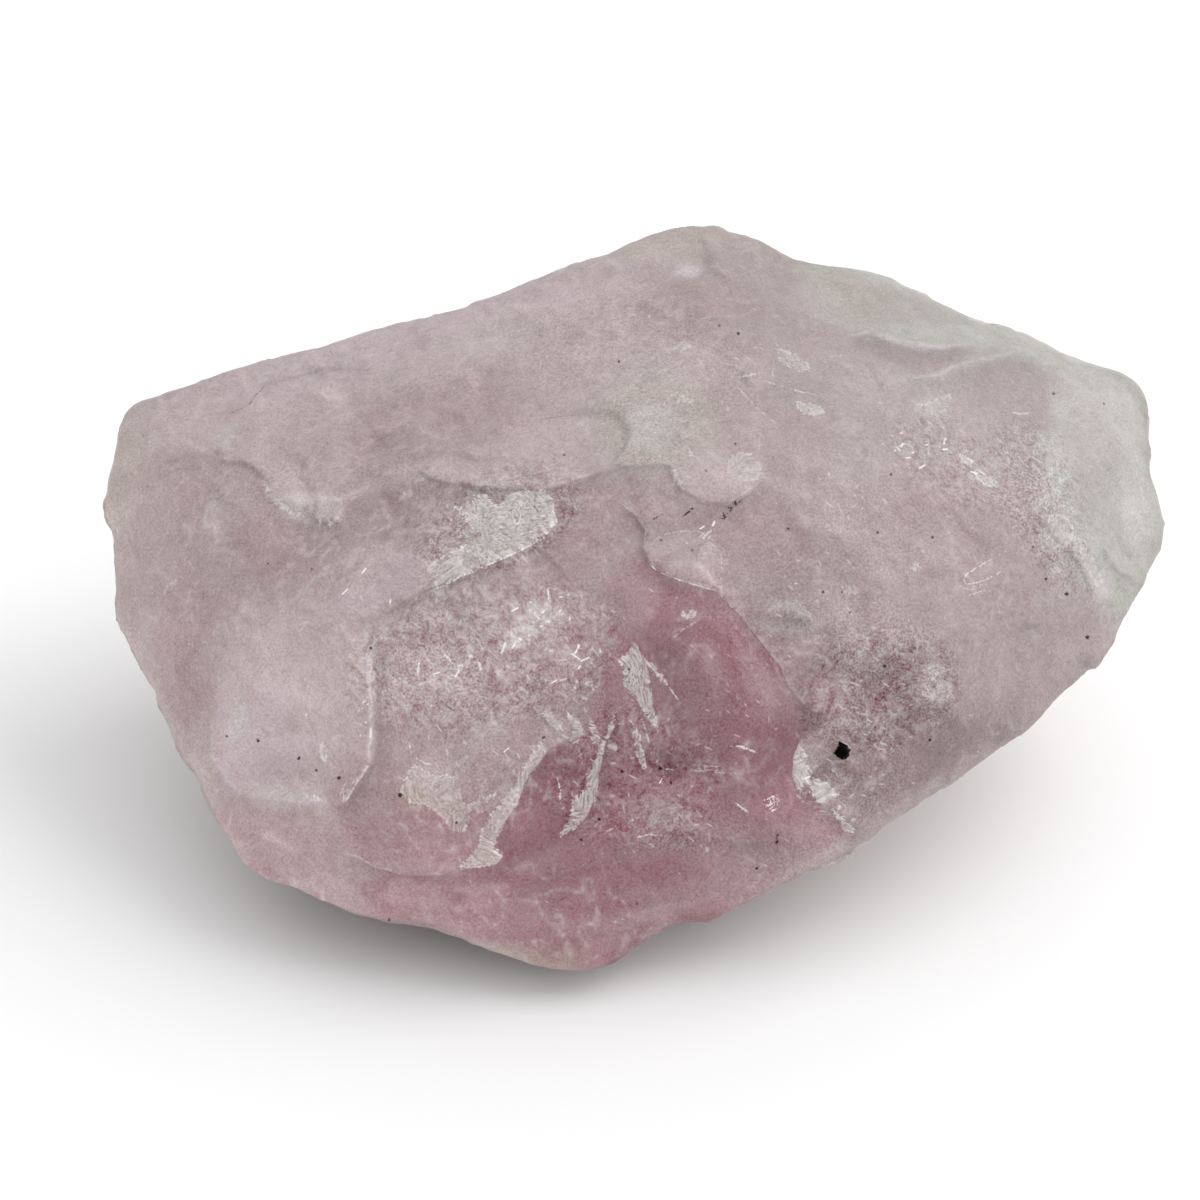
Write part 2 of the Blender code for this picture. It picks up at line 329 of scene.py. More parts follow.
@dataclass(frozen=True)
class Outline:
    """A patch with corners, drawn by its outline."""

    points: tuple[Pixel, ...]

    def depth(self, seen: np.ndarray) -> np.ndarray:
        """How far inside the patch each pixel lies.

        Args:
            seen: pixels, one pair a row.

        Returns:
            The distance to the edge in millimetres, below zero outside.
        """
        closed = self.points + self.points[:1]
        away = np.abs(from_line(seen, closed)[0])
        inside = np.zeros(len(seen), bool)
        for (ax, ay), (bx, by) in zip(closed, closed[1:]):
            if ay == by:
                continue
            crosses = (ay > seen[:, 1]) != (by > seen[:, 1])
            inside ^= crosses & (seen[:, 0] < ax + (seen[:, 1] - ay) * (bx - ax) / (by - ay))
        return np.where(inside, away, -away)


@dataclass(frozen=True)
class Splinter:
    """A long narrow patch that tapers to its ends, drawn by its middle line."""

    line: tuple[Pixel, ...]
    width: float

    def depth(self, seen: np.ndarray) -> np.ndarray:
        """How far inside the patch each pixel lies.

        Args:
            seen: pixels, one pair a row.

        Returns:
            The distance to the edge in millimetres, below zero outside.
        """
        away, along = from_line(seen, self.line)
        share = along / line_length(self.line)
        half = self.width / PIXELS_PER_MM / 2 * np.sqrt(np.clip(4 * share * (1 - share), 0.02, 1))
        return half - np.abs(away)


Shape = Oval | Outline | Splinter


@dataclass(frozen=True)
class Tint:
    """A patch of one colour, which fades at its edge."""

    shape: Shape
    tone: Tone
    strength: float = 1.0
    fade: float = 2.0
    ragged: float = 1.0

    def cover(self, surface: Surface) -> np.ndarray:
        """How much of the colour lies on each point, from 0 to 1."""
        depth = self.shape.depth(surface.seen) + self.ragged * surface.ragged * min(self.fade, 1)
        return self.strength * smooth(depth / self.fade + 0.5)


def spot(
    x: float, y: float, wide: float, high: float, turn: float,
    tone: Tone, strength: float = 1.0, fade: float = 2.0, ragged: float = 1.0,
) -> Tint:
    """An oval tint.

    Args:
        x: its middle, in pixels across.
        y: its middle, in pixels down.
        wide: its half width, in pixels.
        high: its half height, in pixels.
        turn: how far it is turned, in degrees.
        tone: its colour.
        strength: how much of the colour it lays on.
        fade: the width of its soft edge, in millimetres.
        ragged: how ragged that edge is.

    Returns:
        The tint.
    """
    return Tint(Oval((x, y), (wide, high), turn), tone, strength, fade, ragged)


@dataclass(frozen=True)
class Ledge:
    """A broken edge: the face on the right hand of its run lies lower.

    The drop is the height of the step, and the reach the distance over which the lower
    face comes back to the stone's own form, both in millimetres. The shade is how much
    darker the stone looks along the foot of the step.
    """

    line: tuple[Pixel, ...]
    drop: float
    reach: float = 4.0
    waver: float = 0.5
    rise: float = 0.28
    shade: float = 0.4

    def height(self, surface: Surface) -> np.ndarray:
        """How far the ledge moves each point out.

        Args:
            surface: the points.

        Returns:
            The move of each point along its normal, in millimetres.
        """
        away, along = from_line(surface.seen, self.line)
        away = away + self.waver * surface.ragged
        length = line_length(self.line)
        ends = smooth(along / 2.5) * smooth((length - along) / 2.5)
        low = smooth(away / 0.35 + 0.4) * np.exp(-((np.clip(away, 0, None) / self.reach) ** 1.5))
        high = np.exp(-((np.clip(-away, 0, None) / 1.1) ** 1.5)) * (1 - smooth(away / 0.35 + 0.4))
        return self.drop * ends * (self.rise * high - low * (1 - self.rise))


@dataclass(frozen=True)
class Dish:
    """A shell-shaped hollow, or a swelling where its depth is below zero."""

    shape: Shape
    depth: float
    fade: float = 3.0

    def height(self, surface: Surface) -> np.ndarray:
        """How far the hollow moves each point out, in millimetres."""
        return -self.depth * smooth(self.shape.depth(surface.seen) / self.fade)


@dataclass(frozen=True)
class Crest:
    """A thin raised splinter, which stands out of the face by its height in millimetres."""

    shape: Shape
    rise: float
    fade: float = 0.35

    def height(self, surface: Surface) -> np.ndarray:
        """How far the splinter moves each point out, in millimetres."""
        depth = self.shape.depth(surface.seen) + 0.15 * surface.ragged
        return self.rise * smooth(depth / self.fade + 0.3)


@dataclass(frozen=True)
class Hair:
    """A hair-thin line: bright where its strength is above zero, a dark crack below."""

    line: tuple[Pixel, ...]
    strength: float


@dataclass(frozen=True)
class Speck:
    """A small round dark spot."""

    centre: Pixel
    radius: float


# Drawn lines that several forms share. Each runs with the lower face on its right hand.
PLATE_FRONT = (
    (400, 474), (420, 471), (440, 479), (480, 487), (500, 488), (520, 485), (540, 490),
    (552, 489), (580, 480), (605, 470), (630, 466), (660, 463), (672, 465), (674, 478),
    (681, 490), (700, 503), (735, 503), (748, 493), (765, 478),
)
PLATE_LEFT = ((340, 485), (352, 472), (360, 465), (356, 454), (375, 440), (400, 428), (420, 418))
SCARP = (
    (213, 450), (228, 460), (245, 460), (257, 468), (268, 482), (272, 495), (285, 503),
    (297, 515), (305, 508), (318, 520), (340, 522), (348, 505), (362, 495), (375, 490),
)
CHIP_FOOT = (
    (370, 620), (383, 612), (395, 604), (420, 592), (445, 583), (470, 573), (500, 560),
    (520, 553), (545, 538), (554, 527), (556, 505), (552, 492),
)
HOLLOW_CREST = (
    (618, 502), (635, 515), (645, 530), (643, 548), (650, 565), (665, 575), (680, 580),
    (700, 586), (717, 591), (743, 620), (761, 645), (778, 667), (786, 688), (807, 709),
    (835, 722),
)
NOTCH = (
    (835, 722), (812, 733), (799, 741), (791, 758), (791, 775), (798, 792), (805, 784),
    (813, 800), (822, 803), (836, 817), (846, 831), (871, 826),
)
LOBE_BREAK = (
    (340, 850), (370, 866), (400, 876), (440, 876), (455, 871), (480, 868), (497, 865),
    (503, 857), (493, 848), (495, 840), (500, 830), (508, 815), (518, 803), (522, 790),
    (530, 775), (540, 765), (547, 752), (560, 742), (575, 735),
)
STREAK_BREAK = (
    (562, 838), (575, 832), (585, 822), (592, 812), (598, 798), (600, 785), (602, 765),
    (603, 752), (608, 740), (615, 725), (619, 712),
)
SLAB_RIGHT = (
    (325, 809), (345, 803), (355, 787), (373, 763), (374, 744), (373, 720), (372, 696),
    (372, 665), (371, 638),
)
SLAB_LEFT = (
    (219, 700), (211, 730), (213, 757), (229, 786), (262, 799), (300, 803), (325, 809),
)
END_STEP = ((1019, 497), (1046, 531), (1068, 553), (1079, 566), (1089, 584), (1097, 600))
END_SHELL = ((1100, 540), (1108, 556), (1121, 572), (1136, 583), (1152, 580))
SHELL_LIP = (
    (842, 343), (856, 337), (870, 335), (885, 341), (905, 346), (925, 349), (945, 351),
    (952, 346), (975, 345),
)
SHELL_SECOND = ((895, 380), (938, 378), (957, 367), (985, 362), (1012, 355), (1045, 362))

LEDGES = (
    Ledge(PLATE_FRONT, 0.16, 5.0, shade=0.85),
    Ledge(PLATE_LEFT, 0.12, 4.0, shade=0.6),
    Ledge(SCARP, 0.18, 3.5, shade=0.6),
    Ledge(CHIP_FOOT, 0.26, 4.5, waver=0.3, shade=0.8),
    Ledge(HOLLOW_CREST, 0.29, 6.0, waver=0.12, rise=0.45, shade=0.7),
    Ledge(NOTCH, 0.42, 4.0, waver=0.25, shade=0.4),
    Ledge(LOBE_BREAK, 0.46, 4.0, waver=0.3, shade=0.7),
    Ledge(STREAK_BREAK, 0.32, 2.6, waver=0.3, shade=0.5),
    Ledge(SLAB_RIGHT, 0.29, 4.0, waver=0.2, shade=1.0),
    Ledge(SLAB_LEFT, 0.2, 4.0, waver=0.4, shade=0.4),
    Ledge(END_STEP, 0.17, 3.0, shade=0.6),
    Ledge(END_SHELL, 0.15, 3.0, waver=0.3, shade=0.6),
    Ledge(SHELL_LIP, 0.15, 3.5, waver=0.2, shade=0.9),
    Ledge(SHELL_SECOND, 0.1, 4.0, waver=0.3, shade=0.7),
    Ledge(((440, 455), (455, 452), (480, 458), (500, 458), (519, 464)), 0.13, 2.5),
    Ledge(((520, 790), (505, 785), (482, 797)), 0.13, 1.5, waver=0.2),
    Ledge(((235, 388), (262, 384), (290, 378), (330, 368), (380, 372)), 0.17, 4.0),
    Ledge(((640, 840), (665, 832), (700, 836), (740, 840), (780, 838)), 0.17, 4.0),
    Ledge(((860, 715), (880, 712), (905, 716), (935, 700), (955, 690)), 0.15, 3.5),
)

# White splinters on the wall of the hollow and beside it.
NEEDLE = Outline((
    (636, 638), (641, 650), (646, 662), (649, 680), (653, 700), (657, 717), (658, 731),
    (652, 723), (645, 714), (638, 700), (631, 692), (624, 699), (628, 690), (625, 680),
    (623, 667), (619, 658), (627, 657), (633, 646),
))
LONG_STREAK = Outline((
    (619, 713), (615, 726), (608, 740), (603, 752), (603, 763), (600, 775), (600, 785),
    (598, 798), (592, 812), (584, 823), (575, 831), (561, 839), (566, 828), (572, 817),
    (577, 803), (586, 792), (590, 778), (593, 763), (598, 750), (605, 736), (612, 718),
))
MIDDLE_STREAK = Splinter(((631, 722), (636, 733), (639, 747), (642, 758), (645, 771)), 6.5)
SECOND_NEEDLE = Splinter(((645, 659), (655, 671), (665, 681), (669, 687)), 5.0)
BROKEN_BITS = (
    Outline(((549, 708), (556, 718), (563, 722), (561, 731), (553, 727), (541, 713))),
    Outline(((564, 709), (574, 716), (582, 724), (583, 736), (578, 745), (570, 741), (573, 728))),
    Outline(((590, 719), (596, 727), (599, 740), (594, 744), (590, 733))),
    Splinter(((579, 746), (581, 754), (582, 762)), 4.5),
    Outline(((681, 614), (688, 613), (694, 608), (697, 614), (690, 621), (683, 618))),
    Splinter(((583, 686), (590, 684), (599, 685)), 5.0),
)
WHITE_CHIP = Outline((
    (450, 505), (466, 507), (476, 494), (486, 491), (492, 503), (500, 505), (507, 493),
    (517, 489), (532, 490), (548, 491), (553, 503), (555, 524), (543, 537), (520, 551),
    (500, 559), (475, 569), (455, 580), (435, 587), (437, 574), (428, 570), (431, 562),
    (455, 552), (480, 534), (467, 523), (462, 513),
))
LOBE_RIM = Outline((
    (547, 752), (540, 766), (531, 776), (523, 791), (519, 804), (509, 816), (501, 831),
    (496, 841), (494, 848), (504, 857), (497, 866), (480, 869), (456, 870), (466, 858),
    (478, 847), (482, 831), (487, 819), (491, 812), (500, 803), (509, 792), (514, 782),
    (521, 772), (528, 760), (536, 747), (540, 741),
))
MOSSY_CHIP = Outline((
    (396, 789), (404, 783), (408, 771), (414, 765), (421, 770), (437, 779), (447, 775),
    (454, 781), (459, 793), (465, 805), (474, 802), (481, 799), (485, 812), (476, 814),
    (470, 812), (467, 826), (462, 833), (452, 832), (442, 817), (426, 806), (410, 802),
))
NOTCH_WHITE = (
    Outline((
        (798, 742), (805, 752), (808, 766), (806, 780), (800, 793), (795, 787), (790, 774),
        (791, 757),
    )),
    Outline(((807, 782), (815, 778), (829, 782), (836, 794), (828, 799), (821, 804), (814, 800))),
    Outline(((829, 804), (838, 811), (846, 822), (855, 828), (852, 835), (844, 831), (836, 819))),
)
LILAC_CHIPS = (
    Outline((
        (776, 344), (784, 350), (797, 357), (808, 364), (809, 369), (800, 372), (786, 366), (778, 357),
    )),
    Outline((
        (911, 401), (922, 404), (934, 398), (944, 390), (951, 392), (950, 402), (944, 411),
        (935, 416), (925, 409),
    )),
    Outline((
        (727, 462), (733, 455), (742, 452), (752, 455), (760, 463), (762, 473), (756, 480),
        (750, 484), (744, 480), (736, 478), (728, 474),
    )),
    Outline((
        (1045, 522), (1058, 514), (1070, 520), (1073, 534), (1066, 548), (1056, 545), (1048, 534),
    )),
    Outline((
        (1075, 546), (1084, 553), (1094, 560), (1100, 574), (1106, 590), (1098, 588), (1091, 578),
        (1082, 562),
    )),
)
SMALL_WHITES = (
    Splinter(((497, 791), (488, 796), (481, 797)), 4.0),
    Splinter(((267, 484), (270, 492), (277, 500), (292, 510), (305, 517)), 7.0),
    Splinter(((320, 522), (332, 523), (344, 514)), 5.0),
    Splinter(((700, 537), (706, 535), (713, 529)), 5.0),
    Splinter(((672, 468), (676, 480), (683, 487)), 6.0),
    Splinter(((688, 447), (692, 458), (690, 470)), 4.0),
    Splinter(((667, 390), (680, 398), (694, 402)), 6.0),
    Splinter(((667, 350), (675, 347), (690, 346)), 6.0),
    Splinter(((322, 744), (323, 755), (328, 762)), 4.0),
    Splinter(((305, 793), (318, 799), (330, 798)), 4.0),
    Oval((849, 590), (7, 4), 5),
    Oval((916, 566), (5, 4)),
    Oval((1058, 570), (6, 3), -15),
)
WHITES = (
    (NEEDLE, 0.9), (LONG_STREAK, 0.8), (MIDDLE_STREAK, 0.75), (SECOND_NEEDLE, 0.9),
    (WHITE_CHIP, 0.85), (LOBE_RIM, 0.65), (MOSSY_CHIP, 0.5), *((bit, 0.7) for bit in BROKEN_BITS),
    *((patch, 0.8) for patch in NOTCH_WHITE), *((patch, 0.5) for patch in SMALL_WHITES),
    *((patch, 0.55) for patch in LILAC_CHIPS),
    (Splinter(((797, 404), (806, 409), (823, 411)), 13.0), 1.0),
    # The next two splinters are a painted highlight: the bright, wet-looking glint on the right face.
    (Splinter(((974, 471), (984, 478), (996, 486)), 9.0), 1.1),
    (Splinter(((958, 456), (966, 461), (971, 468)), 6.0), 1.0),
    (Splinter(((538, 519), (541, 530), (537, 541)), 6.0), 1.1),
    (Splinter(((473, 549), (477, 560), (481, 568)), 5.0), 1.0),
)

CRESTS = (
    Crest(NEEDLE, 0.19),
    Crest(LONG_STREAK, 0.14),
    Crest(MIDDLE_STREAK, 0.14),
    Crest(SECOND_NEEDLE, 0.14),
    *(Crest(bit, 0.11) for bit in BROKEN_BITS),
    Crest(MOSSY_CHIP, -0.11, 0.6),
    Crest(Splinter(((648, 765), (657, 772), (668, 785)), 6.0), -0.17),
    Crest(Splinter(((660, 752), (668, 765), (671, 780)), 6.0), -0.22),
    Crest(Oval((840.5, 751.0), (8.0, 7.5)), 0.5),
)
DISHES = (
    Dish(Oval((735, 700), (95, 80), 20), 0.8, 5.0),
    Dish(Oval((560, 800), (50, 80), 25), 0.5, 3.0),
    Dish(Oval((890, 358), (75, 16), 4), 0.1, 1.2),
    Dish(Oval((785, 625), (30, 14), 8), 0.12, 1.0),
    Dish(Oval((688, 561), (38, 28), 15), -0.1, 1.2),
    Dish(Oval((930, 560), (100, 70), -20), 0.3, 4.0),
    Dish(Oval((300, 700), (60, 75), 10), 0.25, 3.0),
    Dish(Oval((470, 905), (110, 34), 5), 0.3, 2.0),
    Dish(Oval((933, 398), (20, 17), -30), 0.1, 0.8),
)

# Where the face is freshly broken and rough, where it sparkles with glints painted into its
# colour, and where tiny breaks inside the crystal frost it.
ROUGH = (
    Oval((470, 660), (130, 75), -12),
    Oval((560, 640), (60, 60)),
    Oval((640, 775), (85, 70)),
    Oval((880, 690), (80, 60), -20),
    Oval((1040, 490), (36, 80), -25),
    Oval((500, 520), (90, 50), -25),
    Oval((950, 460), (80, 30), 30),
)
GLINTS = (
    (Oval((545, 610), (36, 24), -10), 0.9),
    (Splinter(((498, 650), (512, 643), (529, 636)), 16.0), 1.6),
    (Oval((541, 621), (12, 9)), 1.2),
    (Oval((582, 656), (16, 12)), 1.3),
    (Oval((565, 665), (44, 32)), 0.5),
    (Oval((440, 665), (44, 26), -8), 0.45),
    (Oval((480, 690), (90, 60)), 0.2),
    (Splinter(((936, 438), (955, 450), (968, 464), (982, 476), (1001, 486)), 15.0), 1.9),
    (Splinter(((888, 440), (905, 452), (917, 447), (926, 458)), 15.0), 1.2),
    (Oval((905, 452), (30, 18), 20), 0.6),
    (Oval((368, 720), (9, 26)), 1.1),
    (Oval((353, 590), (13, 8)), 1.2),
    (Oval((391, 604), (12, 6), -30), 1.2),
    (Oval((380, 575), (40, 28), -20), 0.55),
    (Oval((327, 760), (12, 8)), 0.9),
    (Oval((310, 717), (12, 6)), 0.8),
    (Oval((662, 772), (14, 14), 40), 1.1),
    (Oval((680, 750), (12, 6)), 0.8),
    (Oval((500, 758), (14, 12)), 0.7),
    (Oval((625, 800), (50, 60)), 0.22),
    (Oval((840, 500), (60, 26)), 0.3),
    (Oval((800, 570), (40, 22)), 0.3),
    (Oval((700, 530), (30, 16), -20), 0.6),
    (Oval((800, 760), (10, 26)), 0.5),
    (Oval((1060, 530), (10, 10)), 0.7),
    (Oval((1020, 460), (18, 14)), 0.7),
    (Oval((500, 530), (50, 30), -25), 0.5),
    (Oval((224, 440), (12, 14)), 0.6),
    (Oval((730, 770), (70, 40)), 0.3),
    (Oval((828, 790), (30, 24), 30), 0.7),
    (Oval((676, 590), (40, 16), 10), 0.5),
)
FROST = (
    (Oval((690, 370), (60, 50), 10), 0.4),
    (Oval((590, 340), (90, 50), -15), 0.35),
    (Oval((870, 640), (60, 40), 10), 0.7),
    (Oval((900, 690), (60, 35)), 0.8),
    (Oval((850, 770), (60, 60)), 0.55),
    (Oval((1040, 500), (40, 70), -25), 0.7),
    (Oval((800, 610), (32, 16), 10), 0.8),
    (Oval((500, 530), (80, 40), -25), 0.6),
    (Oval((440, 670), (70, 40), -8), 0.6),
    (Oval((540, 700), (80, 40)), 0.5),
    (Oval((900, 530), (90, 50)), 0.35),
    (Oval((700, 830), (50, 24), -10), 0.6),
    (Oval((590, 730), (50, 30)), 0.5),
    (Oval((300, 500), (50, 30), 20), 0.4),
    (Oval((410, 480), (40, 16)), 0.5),
    (Oval((480, 770), (60, 50), -30), 0.45),
    (Oval((745, 610), (90, 80)), 0.15),
    (Oval((828, 790), (34, 28), 30), 0.9),
    (Oval((1062, 560), (24, 44), -28), 0.8),
    (Oval((650, 425), (48, 42)), 0.5),
    (Oval((740, 690), (60, 55), 20), 0.3),
    (Oval((800, 860), (56, 24), -25), 0.4),
)

# Faces that are tinted as a whole.
UNDER_LOBE = Outline((
    (548, 752), (575, 738), (596, 760), (590, 800), (575, 832), (552, 846), (530, 862), (505, 868),
    (497, 850), (502, 830), (519, 804), (524, 788),
))
STREAKY_LEFT = Outline((
    (206, 500), (212, 490), (221, 498), (222, 520), (227, 545), (216, 554), (209, 540), (205, 520),
))
SCARP_SHELF = Outline((
    (208, 412), (222, 405), (262, 400), (300, 404), (340, 420), (352, 438), (356, 455), (342, 476),
    (320, 486), (300, 490), (285, 482), (274, 470), (262, 463), (255, 452), (240, 463), (222, 456),
    (208, 447),
))
SCARP_FOOT = Outline((
    (283, 500), (300, 497), (330, 498), (347, 495), (342, 514), (322, 526), (305, 521), (291, 516),
))
BELOW_CHIP = Outline((
    (340, 600), (352, 572), (368, 556), (388, 545), (420, 552), (442, 560), (436, 584), (400, 602),
    (372, 620), (345, 624),
))
UNDER_LIP = Outline((
    (838, 348), (856, 340), (872, 337), (890, 344), (915, 350), (950, 351), (975, 348), (962, 360),
    (940, 372), (905, 372), (870, 366), (845, 360),
))
UPPER_PLATE = Outline((
    (100, 395), (250, 335), (420, 295), (560, 250), (690, 200), (770, 230), (780, 300),
    (760, 400), (765, 478), (748, 493), (735, 503), (700, 503), (681, 490), (674, 478),
    (672, 465), (630, 466), (580, 480), (552, 490), (540, 490), (500, 488), (440, 479),
    (400, 474), (340, 485), (300, 515), (257, 468), (213, 450), (110, 470),
))
END_FACE = Outline((
    (775, 240), (870, 255), (940, 280), (1010, 315), (1080, 340), (1160, 375), (1190, 560),
    (1120, 640), (1092, 590), (1072, 550), (1050, 500), (1046, 440), (1052, 392),
    (1040, 368), (1000, 358), (950, 351), (905, 346), (870, 335), (830, 320), (800, 290),
))
HOLLOW = Outline((
    (575, 735), (600, 690), (618, 640), (600, 590), (640, 552), (665, 575), (717, 591),
    (743, 620), (761, 645), (778, 667), (786, 688), (807, 709), (835, 722), (799, 741),
    (791, 775), (798, 792), (813, 800), (846, 831), (800, 860), (760, 905), (700, 940),
    (620, 985), (540, 965), (470, 925), (400, 900), (400, 876), (455, 871), (497, 865),
    (493, 848), (500, 830), (522, 790), (547, 752),
))
SLAB = Outline((
    (234, 600), (280, 592), (330, 600), (371, 622), (373, 720), (373, 763), (355, 787),
    (325, 809), (262, 799), (229, 786), (213, 757), (211, 730), (223, 690), (229, 650),
))
# Thin pale streaks that run through the smooth breaks.
STREAKS = (
    ((690, 600), (705, 640), (712, 680), (716, 715)),
    ((720, 612), (735, 650), (742, 700), (745, 735)),
    ((738, 628), (752, 668), (760, 715)),
    ((700, 790), (740, 782), (775, 775)),
    ((700, 740), (740, 745), (785, 752)),
    ((395, 885), (430, 892), (470, 893), (515, 886)),
    ((380, 897), (420, 907), (465, 910), (520, 903), (560, 890)),
    ((410, 920), (460, 927), (510, 923), (560, 910)),
    ((430, 938), (480, 945), (530, 943)),
    ((560, 905), (600, 898), (650, 892), (700, 880)),
    ((580, 925), (630, 917), (690, 903), (740, 885)),
    ((600, 945), (650, 935), (700, 920)),
    ((240, 850), (262, 862), (290, 868), (330, 872)),
    ((225, 832), (250, 845), (285, 852), (320, 850)),
    ((262, 880), (290, 888), (330, 890)),
    ((120, 500), (130, 530), (134, 560)),
    ((150, 440), (176, 430), (200, 432)),
    ((420, 360), (470, 345), (520, 335), (580, 318)),
    ((300, 345), (360, 330), (420, 312)),
    ((590, 300), (630, 285), (680, 290)),
)
